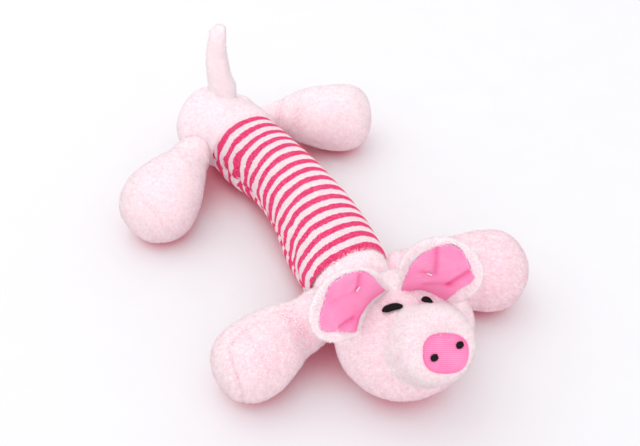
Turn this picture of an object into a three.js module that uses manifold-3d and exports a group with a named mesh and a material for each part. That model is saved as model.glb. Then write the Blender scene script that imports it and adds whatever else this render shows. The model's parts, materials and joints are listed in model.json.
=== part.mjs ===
// A squeaky dog toy: a stuffed plush pig that lies on its belly, with a striped knit body bent sideways.
// Millimetres. +Z is up, the head points to -Y, the tail end to +Y, and +X is the pig's own left side.
// The origin is under the middle of the toy, on the table it lies on.

import * as THREE from 'three';
import { mergeVertices } from 'three/addons/utils/BufferGeometryUtils.js';
import Module from 'manifold-3d';

// Fabrics and clearances
const PLUSH_WALL = 2.4;
const KNIT_WALL = 1.4;
const SEAM_GAP = 0.3; // between two pieces that are sewn edge to edge
const FILL_GAP = 0.5; // between a cover and the filling inside it
const FLOOR_FLAT = 0.5; // how deep a stuffed form is pressed flat where it lies on the table

// Torso: a bent tube between the front seam and the rear seam
const TORSO_LENGTH = 138;
const TORSO_HEADING = 87; // degrees from +X, front seam to rear seam
const TORSO_BOW = 8.2; // how far its middle bends to the pig's left
const TORSO_FRONT_RADIUS = 24.4;
const TORSO_REAR_RADIUS = 21.5;
const SEAM_DRAW = 1; // how far a cover is drawn in at a seam

// Chest: a plush band that narrows to the neck
const CHEST_LENGTH = 20;
const NECK_RADIUS = 17;
const NECK_STEM = 4; // straight part behind the centre of the neck's dome
const NECK_HEIGHT = 26;
const NECK_HEADING = -90; // degrees from +X, the way that the neck points
const THREAD_THICKNESS = 0.8;
const THREAD_BAND = [22, 38]; // degrees in front of the dome's widest circle

// Rump: a plush cap, wider than it is high
const RUMP_HALF_WIDTH = 29.5;
const RUMP_HALF_HEIGHT = 25;
const RUMP_SWELL = 14; // from the rear seam to the widest place
const RUMP_CAP = 22; // from the widest place to the back end

// Legs: four alike, each a club with a ball-shaped root
const LEG_ROOT_RADIUS = 12.6;
const LEG_WAIST_RADIUS = 11.4;
const LEG_WAIST_AT = 7.5; // from the centre of the root ball
const LEG_FOOT_RADIUS = 22.4;
const LEG_LENGTH = 69; // from the centre of the root ball to the end of the foot
const LEG_TOE = 19; // from the thickest place to the end of the foot
const LEGS = [
  // at: from the carrier's seam with the torso; out: how far the root is pulled out of the carrier's side
  // heading: degrees from +X; roll: degrees that the panel seam is turned about the leg, from level
  { name: 'front_left_leg', carrier: 'chest', side: 1, at: 13, out: 8, heading: -30, roll: 20 },
  { name: 'front_right_leg', carrier: 'chest', side: -1, at: 16, out: 0, heading: -168, roll: -50 },
  { name: 'rear_left_leg', carrier: 'rump', side: 1, at: 0, out: 6.5, heading: -36, roll: 20 },
  { name: 'rear_right_leg', carrier: 'rump', side: -1, at: 3, out: 7, heading: -143, roll: -76 },
];

// Tail: a small upright tube on the rump
const TAIL_ROOT_RADIUS = 7.4;
const TAIL_WAIST_RADIUS = 6.6;
const TAIL_WAIST_AT = 5;
const TAIL_TIP_RADIUS = 4.8;
const TAIL_LENGTH = 44;
const TAIL_BOW = -1.5; // how far its middle bends to the pig's left
const TAIL_LEAN = [2, 1]; // how far its tip leans to the left and back
const TAIL_AT = 15; // behind the rear seam
const TAIL_SIDE = 4; // left of the rump's middle

// Head: a ball that is wider than it is high, with its chin on the table
const HEAD_HALF_WIDTH = 35.5;
const HEAD_RADIUS = 34.5;
const HEAD_CROWN = 31.5; // the flatter half above the eyes
const NECK_DEPTH = 1.5; // how deep the neck's centre lies inside the back of the head
const HEAD_SIDE = 1; // how far the head sits to the pig's left of the neck
const FACE_TURN = 9; // degrees that the face looks to the pig's right
const FACE_PITCH = 40; // degrees that it looks up
const FACE_ROLL = 6; // degrees that its top leans to the right

// Muzzle, nose and embroidery
const MUZZLE_PROUD = 12.5; // from the face to the muzzle's front
const MUZZLE_BASE_RADIUS = 20;
const MUZZLE_FRONT_RADIUS = 16.6;
const MUZZLE_ROUND = 4; // rounding of the muzzle's front edge
const NOSE_HALF_WIDTH = 11.6;
const NOSE_HALF_HEIGHT = 9.4;
const NOSE_DROP = 1.8; // from the muzzle's middle down to the nose's
const NOSE_THICKNESS = 2;
const NOSTRIL_RADIUS = 2.2;
const NOSTRIL_SPREAD = 7; // half the distance between the nostrils
const STITCH_THICKNESS = 0.8;
const EYE_LENGTH = 9.6;
const EYE_WIDTH = 3.6;
const EYE_ARCH = 1.6; // how far the middle of the eye is higher than its ends
const EYE_END_SHARE = 0.2; // width left at an end, as a share of the middle
const EYE_PLACE = [0.255, -0.76, 0.59]; // direction from the head's centre, for the left eye

// Ears
const EAR_LENGTH = 30.5;
const EAR_BASE_HALF_WIDTH = 14.5;
const EAR_HALF_WIDTH = 19;
const EAR_WIDEST_AT = 0.55; // share of its length
const EAR_TIP_SHARE = 0.45; // width left at the very tip, as a share of the widest
const EAR_CUP = 6; // how far the edges curl forward
const EAR_BACK_THICKNESS = 3;
const EAR_LINING_THICKNESS = 1;
const EAR_RIM = 3.2; // plush that shows round the lining
const EARS = [
  // place: direction from the head's centre; axis: the line along which the ear is sewn on
  // lean: degrees, backwards from the line straight out of the head
  // skew: how far the ear slants along that axis, as a share of the height above it
  // tack: the white stitch's place across and up the ear, as shares of its half width and its length
  {
    name: 'left_ear', place: [0.42, -0.6, 0.68], axis: [0.72, -0.25, -0.64], lean: -13, skew: 0,
    tack: [-0.18, 0.27],
  },
  {
    name: 'right_ear', place: [-0.52, -0.41, 0.69], axis: [0.79, -0.05, 0.61], lean: 0, skew: -0.2,
    tack: [0.42, 0.4],
  },
];
const TACK_LENGTH = 4;

// Squeaker: a small bellows with a reed, in a pocket in the filling
const SQUEAKER_AT = 0.42; // share of the torso, from its front seam
const POCKET_FLOOR = 8;
const BELLOWS_RADIUS = 15;
const BELLOWS_HEIGHT = 20;
const BELLOWS_FOLDS = 3;
const BELLOWS_FOLD_DEPTH = 2.4;
const BELLOWS_WALL = 0.9;
const BELLOWS_MOUTH = 7.3;
const POCKET_CLEARANCE = 1;
const REED_HOLDER_RADIUS = 10;
const REED_HOLDER_THICKNESS = 2;
const REED_SPIGOT = 4; // how far the holder plugs into the bellows
const REED_AIRWAY = 2;
const REED_CAP_HEIGHT = 5.5;
const REED_CAP_WALL = 1.6;
const REED_SIZE = [10, 4, 0.3];

// How finely the round forms are faceted
const BODY_SIDES = 16;
const ROOT_BALL_STEPS = [-62, -35, -8, 20]; // degrees along a leg's root ball
const TAIL_BALL_STEPS = [-60, -28, 10]; // degrees along the tail's root ball
const DOME_STEPS = [0, 25, 48, 70]; // degrees along the neck's dome
const TORSO_STEPS = 8;
const LEG_SIDES = 12;
const TAIL_SIDES = 10;
const HEAD_SIDES = 16;
const HEAD_RINGS = 11;
const LATHE_SIDES = 16;
const SOCKET_SIDES = 12;
const SOCKET_RINGS = 7;
const PLATE_COLUMNS = 8;
const EYE_ROWS = 3;
const EAR_ROWS = 7;

const UP = new THREE.Vector3(0, 0, 1);
const { degToRad, lerp, smoothstep } = THREE.MathUtils;

// Solids that join and cut

const wasm = await Module();
wasm.setup();

function solid(geometry) {
  const bare = geometry.clone();
  bare.deleteAttribute('normal');
  bare.deleteAttribute('uv');
  const merged = mergeVertices(bare, 1e-4);
  return new wasm.Manifold(new wasm.Mesh({
    numProp: 3,
    vertProperties: new Float32Array(merged.attributes.position.array),
    triVerts: new Uint32Array(merged.index.array),
  }));
}

function geometryOf(shape) {
  const { vertProperties, triVerts } = shape.getMesh();
  const geometry = new THREE.BufferGeometry();
  geometry.setAttribute('position', new THREE.BufferAttribute(vertProperties, 3));
  geometry.setIndex(new THREE.BufferAttribute(triVerts, 1));
  geometry.computeVertexNormals();
  return geometry;
}

function indexed(points, faces) {
  const geometry = new THREE.BufferGeometry().setFromPoints(points);
  geometry.setIndex(faces);
  geometry.computeVertexNormals();
  return geometry;
}

function piece(name, shape, material) {
  const mesh = new THREE.Mesh(geometryOf(shape), material);
  mesh.name = name;
  return mesh;
}

// A closed form round a run of rings. A station has a centre, a direction, a half width and a half height.
function sweptForm(stations, sides, poles) {
  const points = [poles[0]];
  for (const { centre, along, width, height } of stations) {
    const across = new THREE.Vector3().crossVectors(UP, along).normalize();
    const above = new THREE.Vector3().crossVectors(along, across).normalize();
    for (let side = 0; side < sides; side++) {
      const angle = 2 * Math.PI * (side + 0.5) / sides;
      points.push(centre.clone()
        .addScaledVector(across, width * Math.cos(angle))
        .addScaledVector(above, height * Math.sin(angle)));
    }
  }
  points.push(poles[1]);
  return closedRings(points, stations.length, sides);
}

// Joins rings of points, listed between a first and a last pole, into a closed surface.
function closedRings(points, rings, sides) {
  const at = (ring, side) => 1 + ring * sides + side % sides;
  const end = points.length - 1;
  const faces = [];
  for (let side = 0; side < sides; side++) {
    faces.push(0, at(0, side + 1), at(0, side));
    for (let ring = 0; ring + 1 < rings; ring++) {
      faces.push(at(ring, side), at(ring, side + 1), at(ring + 1, side + 1));
      faces.push(at(ring, side), at(ring + 1, side + 1), at(ring + 1, side));
    }
    faces.push(end, at(rings - 1, side), at(rings - 1, side + 1));
  }
  return solid(indexed(points, faces));
}

// A thin plate between a front and a back surface, each a function of u across and v along, both from 0 to 1.
function plate(front, back, across, along) {
  const points = [];
  for (const face of [front, back]) {
    for (let j = 0; j <= along; j++) {
      for (let i = 0; i <= across; i++) points.push(face(i / across, j / along));
    }
  }
  const layer = (across + 1) * (along + 1);
  const at = (i, j, side) => side * layer + j * (across + 1) + i;
  const faces = [];
  const quad = (a, b, c, d) => faces.push(a, b, c, a, c, d);
  for (let j = 0; j < along; j++) {
    for (let i = 0; i < across; i++) {
      quad(at(i, j, 0), at(i + 1, j, 0), at(i + 1, j + 1, 0), at(i, j + 1, 0));
      quad(at(i, j, 1), at(i, j + 1, 1), at(i + 1, j + 1, 1), at(i + 1, j, 1));
    }
    quad(at(0, j, 1), at(0, j, 0), at(0, j + 1, 0), at(0, j + 1, 1));
    quad(at(across, j, 0), at(across, j, 1), at(across, j + 1, 1), at(across, j + 1, 0));
  }
  for (let i = 0; i < across; i++) {
    quad(at(i, 0, 1), at(i + 1, 0, 1), at(i + 1, 0, 0), at(i, 0, 0));
    quad(at(i, along, 0), at(i + 1, along, 0), at(i + 1, along, 1), at(i, along, 1));
  }
  return solid(indexed(points, faces));
}

// A turned form about local Z. Its [radius, height] points start and end on the axis, or close on themselves.
function turned(profile, sides = LATHE_SIDES) {
  const points = profile.map(([radius, height]) => new THREE.Vector2(radius, height));
  return solid(new THREE.LatheGeometry(points, sides).rotateX(Math.PI / 2));
}

// A round hollow whose flat facets all stay clear of a ball of this radius.
function socket(radius, centre) {
  const flats = Math.cos(Math.PI / SOCKET_SIDES) * Math.cos(Math.PI / (2 * SOCKET_RINGS));
  const shape = new THREE.SphereGeometry((radius + SEAM_GAP) / flats, SOCKET_SIDES, SOCKET_RINGS);
  return solid(shape.translate(centre.x, centre.y, centre.z));
}

// Everything under a level plane, wide enough for any piece.
function below(height) {
  const reach = 4 * TORSO_LENGTH;
  return solid(new THREE.BoxGeometry(reach, reach, reach).translate(0, 0, height - reach / 2));
}

// Fabrics and the other materials

function finish(color, roughness) {
  return () => new THREE.MeshStandardMaterial({ color, roughness, metalness: 0 });
}
const plush = finish(0xffdbe6, 0.95);
const stripedKnit = finish(0xf3a3bd, 0.9);
const pinkKnit = finish(0xff82be, 0.85);
const blackThread = finish(0x17120f, 0.6);
const whiteThread = finish(0xfdf3f5, 0.7);
const fibre = finish(0xf6f3ee, 1);
const softPlastic = finish(0xf2efe4, 0.5);
const reedPlastic = finish(0xd9dcdf, 0.35);

// Torso path: a level curve between the two seams, in a plan view

const torsoLine = new THREE.Vector3(1, 0, 0).applyAxisAngle(UP, degToRad(TORSO_HEADING));
const torsoLeft = new THREE.Vector3().crossVectors(torsoLine, UP);
const torsoPath = new THREE.QuadraticBezierCurve3(
  torsoLine.clone().multiplyScalar(-TORSO_LENGTH / 2),
  torsoLeft.clone().multiplyScalar(2 * TORSO_BOW),
  torsoLine.clone().multiplyScalar(TORSO_LENGTH / 2),
);
const torsoRadius = (t) => lerp(TORSO_FRONT_RADIUS, TORSO_REAR_RADIUS, smoothstep(t, 0, 1));
const forward = torsoPath.getTangent(0).negate();
const backward = torsoPath.getTangent(1);
const frontSeam = torsoPath.getPoint(0);
const rearSeam = torsoPath.getPoint(1);

// The torso's form, inset from its outside. Its ends run on by overrun, along the ends of the path.
function torsoForm(inset, overrun) {
  const stations = [];
  const station = (t, beyond) => {
    const along = torsoPath.getTangent(t);
    const drawn = t === 0 || t === 1 ? SEAM_DRAW : 0;
    const radius = torsoRadius(t) - drawn - inset;
    const centre = torsoPath.getPoint(t).addScaledVector(along, beyond).setZ(torsoRadius(t) - FLOOR_FLAT);
    stations.push({ centre, along, width: radius, height: radius });
  };
  if (overrun > 0) station(0, -overrun);
  for (let i = 0; i <= TORSO_STEPS; i++) station(i / TORSO_STEPS, 0);
  if (overrun > 0) station(1, overrun);
  return sweptForm(stations, BODY_SIDES, [stations[0].centre.clone(), stations.at(-1).centre.clone()]);
}

// The chest: an elliptical shoulder, a short stem and a dome about the neck's centre

const neckAt = CHEST_LENGTH + NECK_STEM;
const seamHeight = TORSO_FRONT_RADIUS - FLOOR_FLAT;
const neckLine = new THREE.Vector3(1, 0, 0).applyAxisAngle(UP, degToRad(NECK_HEADING));
const chestTurn = frontSeam.clone().addScaledVector(forward, neckAt / 2);
const neck = chestTurn.clone().addScaledVector(neckLine, neckAt / 2).setZ(NECK_HEIGHT);
const chestPath = new THREE.QuadraticBezierCurve3(frontSeam.clone().setZ(seamHeight), chestTurn, neck);
chestTurn.setZ((seamHeight + NECK_HEIGHT) / 2);
const chestAlong = (s) => chestPath.getTangent(Math.min(Math.max(s / neckAt, 0), 1)).setZ(0).normalize();
function chestCentre(s) {
  const inside = Math.min(Math.max(s, 0), neckAt);
  return chestPath.getPoint(inside / neckAt).addScaledVector(chestAlong(s), s - inside);
}
const shoulder = TORSO_FRONT_RADIUS - SEAM_DRAW - NECK_RADIUS;
const chestRadius = (s, inset) => NECK_RADIUS - inset
  + shoulder * Math.sqrt(Math.max(0, 1 - (Math.max(s, 0) / (CHEST_LENGTH - inset)) ** 2));

function chestForm(inset, start) {
  const shoulderShares = [0, 0.35, 0.6, 0.8, 0.94, 1];
  const stations = [];
  const station = (s, radius) => stations.push({
    centre: chestCentre(s), along: chestAlong(s), width: radius, height: radius,
  });
  if (start < 0) station(start, chestRadius(0, inset));
  for (const share of shoulderShares) {
    const s = Math.max(start, share * (CHEST_LENGTH - inset));
    station(s, chestRadius(s, inset));
  }
  for (const angle of DOME_STEPS) {
    const dome = NECK_RADIUS - inset;
    station(neckAt + dome * Math.sin(degToRad(angle)), dome * Math.cos(degToRad(angle)));
  }
  const domeTop = chestCentre(neckAt + NECK_RADIUS - inset);
  return sweptForm(stations, BODY_SIDES, [stations[0].centre.clone(), domeTop]);
}

// The rump: it swells behind the rear seam and closes in a round cap

const rumpHeight = (s) => lerp(
  TORSO_REAR_RADIUS - FLOOR_FLAT, RUMP_HALF_HEIGHT - FLOOR_FLAT, smoothstep(s, 0, RUMP_SWELL));
const rumpCentre = (s) => rearSeam.clone().addScaledVector(backward, s).setZ(rumpHeight(s));
function rumpHalf(s, most, inset) {
  const seam = TORSO_REAR_RADIUS - SEAM_DRAW;
  if (s <= RUMP_SWELL) {
    return lerp(seam, most, Math.sin(Math.PI / 2 * Math.max(s, 0) / RUMP_SWELL)) - inset;
  }
  return (most - inset) * Math.sqrt(Math.max(0, 1 - ((s - RUMP_SWELL) / (RUMP_CAP - inset)) ** 2));
}

function rumpForm(inset, start) {
  const swellShares = [0, 0.3, 0.65, 1];
  const capShares = [0.4, 0.7, 0.92];
  const places = [
    ...swellShares.map((share) => Math.max(start, share * RUMP_SWELL)),
    ...capShares.map((share) => RUMP_SWELL + share * (RUMP_CAP - inset)),
  ];
  if (start < 0) places.unshift(start);
  const stations = places.map((s) => ({
    centre: rumpCentre(s),
    along: backward,
    width: rumpHalf(s, RUMP_HALF_WIDTH, inset),
    height: rumpHalf(s, RUMP_HALF_HEIGHT, inset),
  }));
  const capEnd = rumpCentre(RUMP_SWELL + RUMP_CAP - inset);
  return sweptForm(stations, BODY_SIDES, [stations[0].centre.clone(), capEnd]);
}

// Where the legs and the tail are sewn on: the centres of their root balls

const legHeight = LEG_FOOT_RADIUS - FLOOR_FLAT;
const rumpSide = new THREE.Vector3().crossVectors(backward, UP);
function legRoot({ carrier, side, at, out }) {
  if (carrier === 'chest') {
    const left = new THREE.Vector3().crossVectors(UP, chestAlong(at));
    return chestCentre(at).addScaledVector(left, side * (chestRadius(at, 0) + out)).setZ(legHeight);
  }
  const reach = rumpHalf(at, RUMP_HALF_WIDTH, 0) + out;
  return rumpCentre(at).addScaledVector(rumpSide, side * reach).setZ(legHeight);
}
const tailWidth = rumpHalf(TAIL_AT, RUMP_HALF_WIDTH, 0);
const tailRise = rumpHalf(TAIL_AT, RUMP_HALF_HEIGHT, 0) * Math.sqrt(1 - (TAIL_SIDE / tailWidth) ** 2);
const tailRoot = rumpCentre(TAIL_AT).addScaledVector(rumpSide, TAIL_SIDE).addScaledVector(UP, tailRise);

const sockets = LEGS.map((leg) => socket(LEG_ROOT_RADIUS, legRoot(leg)));
sockets.push(socket(TAIL_ROOT_RADIUS, tailRoot));
const floor = below(0);
const cutSockets = (shape) => sockets.reduce((rest, hollow) => rest.subtract(hollow), shape);

// Body covers and the filling that runs through them

const toy = new THREE.Group();

const sleeve = torsoForm(0, 0).subtract(torsoForm(KNIT_WALL, KNIT_WALL));
toy.add(piece('torso_sleeve', cutSockets(sleeve).subtract(floor), stripedKnit()));

const chest = chestForm(0, SEAM_GAP).subtract(chestForm(PLUSH_WALL, -PLUSH_WALL));
toy.add(piece('chest_cover', cutSockets(chest).subtract(floor), plush()));

const rump = rumpForm(0, SEAM_GAP).subtract(rumpForm(PLUSH_WALL, -PLUSH_WALL));
toy.add(piece('rump_cover', cutSockets(rump).subtract(floor), plush()));

const plushInset = PLUSH_WALL + FILL_GAP;
const squeakerCentre = torsoPath.getPoint(SQUEAKER_AT);
const pocketTop = 2 * TORSO_FRONT_RADIUS;
const pocket = turned([
  [0, POCKET_FLOOR],
  [BELLOWS_RADIUS + POCKET_CLEARANCE, POCKET_FLOOR],
  [BELLOWS_RADIUS + POCKET_CLEARANCE, pocketTop],
  [0, pocketTop],
]).translate([squeakerCentre.x, squeakerCentre.y, 0]);
const filling = torsoForm(plushInset, 0)
  .add(chestForm(plushInset, -PLUSH_WALL))
  .add(rumpForm(plushInset, -PLUSH_WALL))
  .subtract(pocket);
toy.add(piece('body_filling', cutSockets(filling), fibre()));

// The squeaker, upright in its pocket: the reed end is pressed down towards the bellows' floor

const squeaker = new THREE.Group();
squeaker.position.set(squeakerCentre.x, squeakerCentre.y, POCKET_FLOOR + SEAM_GAP);
toy.add(squeaker);

function bellows() {
  const fold = BELLOWS_HEIGHT / BELLOWS_FOLDS;
  const wave = [];
  for (let i = 0; i < BELLOWS_FOLDS; i++) {
    wave.push([BELLOWS_RADIUS - BELLOWS_FOLD_DEPTH, i * fold], [BELLOWS_RADIUS, (i + 0.5) * fold]);
  }
  wave.push([BELLOWS_RADIUS - BELLOWS_FOLD_DEPTH, BELLOWS_HEIGHT]);
  const ceiling = BELLOWS_HEIGHT - BELLOWS_WALL;
  const inside = wave
    .map(([radius, height]) => [radius - BELLOWS_WALL, Math.min(Math.max(height, BELLOWS_WALL), ceiling)])
    .reverse();
  return turned([
    [0, 0], ...wave, [BELLOWS_MOUTH, BELLOWS_HEIGHT], [BELLOWS_MOUTH, ceiling], ...inside, [0, BELLOWS_WALL],
  ]);
}
squeaker.add(piece('squeaker_bellows', bellows(), softPlastic()));

const reedEnd = new THREE.Group();
reedEnd.position.z = BELLOWS_HEIGHT + SEAM_GAP;
squeaker.add(reedEnd);

const spigotRadius = BELLOWS_MOUTH - SEAM_GAP;
reedEnd.add(piece('reed_holder', turned([
  [REED_AIRWAY, -REED_SPIGOT],
  [spigotRadius, -REED_SPIGOT],
  [spigotRadius, 0],
  [REED_HOLDER_RADIUS, 0],
  [REED_HOLDER_RADIUS, REED_HOLDER_THICKNESS],
  [REED_AIRWAY, REED_HOLDER_THICKNESS],
  [REED_AIRWAY, -REED_SPIGOT],
]), softPlastic()));

const reedHeight = REED_HOLDER_THICKNESS + SEAM_GAP + REED_SIZE[2] / 2;
const reed = new THREE.BoxGeometry(...REED_SIZE).translate(0, 0, reedHeight);
reedEnd.add(piece('reed_strip', solid(reed), reedPlastic()));

const capInside = REED_HOLDER_RADIUS - REED_CAP_WALL;
const capFoot = REED_HOLDER_THICKNESS + SEAM_GAP;
reedEnd.add(piece('reed_cap', turned([
  [capInside, capFoot],
  [REED_HOLDER_RADIUS, capFoot],
  [REED_HOLDER_RADIUS, capFoot + REED_CAP_HEIGHT],
  [REED_AIRWAY, capFoot + REED_CAP_HEIGHT],
  [REED_AIRWAY, capFoot + REED_CAP_HEIGHT - REED_CAP_WALL],
  [capInside, capFoot + REED_CAP_HEIGHT - REED_CAP_WALL],
  [capInside, capFoot],
]), softPlastic()));

// Legs, each built along its own +X from the centre of its root ball

const legFootAt = LEG_LENGTH - LEG_TOE;
function legForm(inset) {
  const root = LEG_ROOT_RADIUS - inset;
  const foot = LEG_FOOT_RADIUS - inset;
  const toe = LEG_TOE - inset;
  const places = [
    ...ROOT_BALL_STEPS.map((angle) => [root * Math.sin(degToRad(angle)), root * Math.cos(degToRad(angle))]),
    ...[0, 0.3, 0.6, 0.85, 1].map((share) => [
      lerp(LEG_WAIST_AT, legFootAt, share),
      lerp(LEG_WAIST_RADIUS, LEG_FOOT_RADIUS, Math.sin(Math.PI / 2 * share)) - inset,
    ]),
    ...[0.5, 0.85].map((share) => [legFootAt + share * toe, foot * Math.sqrt(1 - share ** 2)]),
  ];
  const along = new THREE.Vector3(1, 0, 0);
  const stations = places.map(([s, radius]) => ({
    centre: new THREE.Vector3(s, 0, 0), along, width: radius, height: radius,
  }));
  return sweptForm(stations, LEG_SIDES, [
    new THREE.Vector3(-root, 0, 0), new THREE.Vector3(legFootAt + toe, 0, 0),
  ]);
}

const legTable = below(-legHeight);
const legCover = legForm(0).subtract(legForm(PLUSH_WALL)).subtract(legTable);
for (const leg of LEGS) {
  const group = new THREE.Group();
  group.name = leg.name;
  group.position.copy(legRoot(leg));
  group.rotation.z = degToRad(leg.heading);
  const underHalf = below(SEAM_GAP / 2).rotate([leg.roll, 0, 0]);
  const topHalf = below(-SEAM_GAP / 2).rotate([leg.roll, 0, 0]);
  group.add(piece(`${leg.name}_top_panel`, legCover.subtract(underHalf), plush()));
  group.add(piece(`${leg.name}_under_panel`, legCover.intersect(topHalf), plush()));
  group.add(piece(`${leg.name}_filling`, legForm(plushInset), fibre()));
  toy.add(group);
}

// Tail, built upwards from the centre of its root ball

function tailForm(inset) {
  const root = TAIL_ROOT_RADIUS - inset;
  const tip = TAIL_TIP_RADIUS - inset;
  const tipAt = TAIL_LENGTH - TAIL_TIP_RADIUS;
  const bend = (share) => new THREE.Vector3(
    TAIL_LEAN[0] * share ** 2 + TAIL_BOW * Math.sin(Math.PI * share), TAIL_LEAN[1] * share ** 2, 0);
  const places = [
    ...TAIL_BALL_STEPS.map((angle) => [root * Math.sin(degToRad(angle)), root * Math.cos(degToRad(angle))]),
    ...[0, 0.35, 0.7, 1].map((share) => [
      lerp(TAIL_WAIST_AT, tipAt, share), lerp(TAIL_WAIST_RADIUS, TAIL_TIP_RADIUS, share) - inset]),
    [tipAt + tip * 0.7, tip * 0.7],
  ];
  const spot = (height) => bend(Math.max(0, height) / TAIL_LENGTH).setZ(height);
  // A thin slice of the rings stays level, so the tube is swept by its centres alone
  const points = [new THREE.Vector3(0, 0, -root)];
  for (const [height, radius] of places) {
    for (let side = 0; side < TAIL_SIDES; side++) {
      const angle = 2 * Math.PI * side / TAIL_SIDES;
      points.push(spot(height).add(new THREE.Vector3(radius * Math.cos(angle), radius * Math.sin(angle), 0)));
    }
  }
  points.push(spot(tipAt + tip));
  return closedRings(points, places.length, TAIL_SIDES);
}

const tail = new THREE.Group();
tail.name = 'tail';
tail.position.copy(tailRoot);
const stuffingHole = turned([
  [0, -2 * TAIL_ROOT_RADIUS], [TAIL_TIP_RADIUS - PLUSH_WALL, -2 * TAIL_ROOT_RADIUS],
  [TAIL_TIP_RADIUS - PLUSH_WALL, 0], [0, 0],
], TAIL_SIDES);
tail.add(piece('tail_cover', tailForm(0).subtract(tailForm(PLUSH_WALL)).subtract(stuffingHole), plush()));
tail.add(piece('tail_filling', tailForm(plushInset), fibre()));
toy.add(tail);

// Head, built about the neck's centre

const head = new THREE.Group();
head.name = 'head';
head.position.copy(neck);
toy.add(head);
const headHeight = HEAD_RADIUS - FLOOR_FLAT - NECK_HEIGHT;
const headCentre = new THREE.Vector3(HEAD_SIDE, NECK_DEPTH - HEAD_RADIUS, headHeight);
const faceTurn = new THREE.Euler(-degToRad(FACE_PITCH), -degToRad(FACE_ROLL), -degToRad(FACE_TURN), 'ZXY');
const facePlace = new THREE.Matrix4().makeRotationFromEuler(faceTurn).setPosition(headCentre);
const placeFace = (shape) => shape.transform(facePlace.elements);

function headForm(grow) {
  const shape = new THREE.SphereGeometry(1, HEAD_SIDES, HEAD_RINGS).rotateX(Math.PI / 2);
  const points = shape.attributes.position;
  for (let i = 0; i < points.count; i++) {
    const [x, y, z] = [points.getX(i), points.getY(i), points.getZ(i)];
    const rise = (z > 0 ? HEAD_CROWN : HEAD_RADIUS) + grow;
    points.setXYZ(i, x * (HEAD_HALF_WIDTH + grow), y * (HEAD_RADIUS + grow), z * rise);
  }
  return solid(shape);
}

// The muzzle is turned about the face's forward line; heights in its profile run forward
const towardsNose = (shape) => shape.rotate([90, 0, 0]);
const muzzleFoot = HEAD_RADIUS / 2;
const muzzleReach = HEAD_RADIUS + MUZZLE_PROUD;
function muzzleForm(inset, reach) {
  const edge = MUZZLE_FRONT_RADIUS - MUZZLE_ROUND;
  const round = MUZZLE_ROUND - Math.min(inset, MUZZLE_ROUND / 2);
  const shelf = reach - round;
  return towardsNose(turned([
    [0, muzzleFoot],
    [MUZZLE_BASE_RADIUS - inset, muzzleFoot],
    [edge + round, shelf],
    [edge + round * Math.cos(degToRad(45)), shelf + round * Math.sin(degToRad(45))],
    [edge, reach],
    [0, reach],
  ]));
}

const bandStep = (THREAD_BAND[1] - THREAD_BAND[0]) / 2;
const bandFlats = Math.cos(Math.PI / BODY_SIDES) * Math.cos(degToRad(bandStep / 2));
const bandInside = (NECK_RADIUS + SEAM_GAP) / bandFlats;
const neckSocket = socket(bandInside + THREAD_THICKNESS, new THREE.Vector3(0, 0, 0));
const headTable = below(-NECK_HEIGHT);
const muzzleBore = MUZZLE_FRONT_RADIUS - PLUSH_WALL;
const muzzleHole = towardsNose(turned([
  [0, 0], [muzzleBore, 0], [muzzleBore, muzzleReach], [0, muzzleReach],
]));
const headShell = headForm(0).subtract(headForm(-PLUSH_WALL)).subtract(muzzleHole);
head.add(piece('head_cover', placeFace(headShell).subtract(neckSocket).subtract(headTable), plush()));

const noseSeat = muzzleReach - NOSE_THICKNESS;
const noseAspect = NOSE_HALF_HEIGHT / NOSE_HALF_WIDTH;
const ovalNose = (shape) => towardsNose(shape.scale([1, noseAspect, 1]).translate([0, -NOSE_DROP, 0]));
const noseGap = NOSE_HALF_WIDTH + SEAM_GAP;
const noseHole = ovalNose(turned([
  [0, muzzleFoot], [noseGap, muzzleFoot], [noseGap, 2 * muzzleReach], [0, 2 * muzzleReach],
], HEAD_SIDES));
const muzzle = muzzleForm(0, muzzleReach)
  .subtract(muzzleForm(PLUSH_WALL, noseSeat - FILL_GAP))
  .subtract(noseHole)
  .subtract(headForm(SEAM_GAP));
head.add(piece('muzzle_cover', placeFace(muzzle), plush()));

const fillReach = noseSeat - 2 * FILL_GAP;
const muzzlePlug = towardsNose(turned([
  [0, 0],
  [muzzleBore - FILL_GAP, 0],
  [muzzleBore - FILL_GAP, HEAD_RADIUS],
  [NOSE_HALF_WIDTH - FILL_GAP, fillReach],
  [0, fillReach],
]));
const headFilling = headForm(-plushInset).add(muzzlePlug);
head.add(piece('head_filling', placeFace(headFilling).subtract(neckSocket), fibre()));

const nose = turned([
  [0, noseSeat], [NOSE_HALF_WIDTH, noseSeat], [NOSE_HALF_WIDTH, muzzleReach - NOSE_THICKNESS / 4],
  [NOSE_HALF_WIDTH - NOSE_THICKNESS / 2, muzzleReach], [0, muzzleReach],
], HEAD_SIDES);
head.add(piece('nose_disc', placeFace(ovalNose(nose)), pinkKnit()));

for (const [name, side] of [['left', 1], ['right', -1]]) {
  const nostrilFoot = muzzleReach + SEAM_GAP;
  const nostril = turned([
    [0, nostrilFoot], [NOSTRIL_RADIUS, nostrilFoot], [NOSTRIL_RADIUS, nostrilFoot + STITCH_THICKNESS],
    [0, nostrilFoot + STITCH_THICKNESS],
  ], TAIL_SIDES).translate([side * NOSTRIL_SPREAD, -NOSE_DROP, 0]);
  head.add(piece(`${name}_nostril`, placeFace(towardsNose(nostril)), blackThread()));
}

// The point of the head's surface in a direction, at a distance outside it
function onHead(direction, out) {
  const rise = direction.z > 0 ? HEAD_CROWN : HEAD_RADIUS;
  const size = new THREE.Vector3(HEAD_HALF_WIDTH, HEAD_RADIUS, rise).addScalar(out);
  const reach = direction.clone().divide(size).length();
  return direction.clone().divideScalar(reach);
}

// Eyes: arched patches of satin stitch that follow the head's surface

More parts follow.
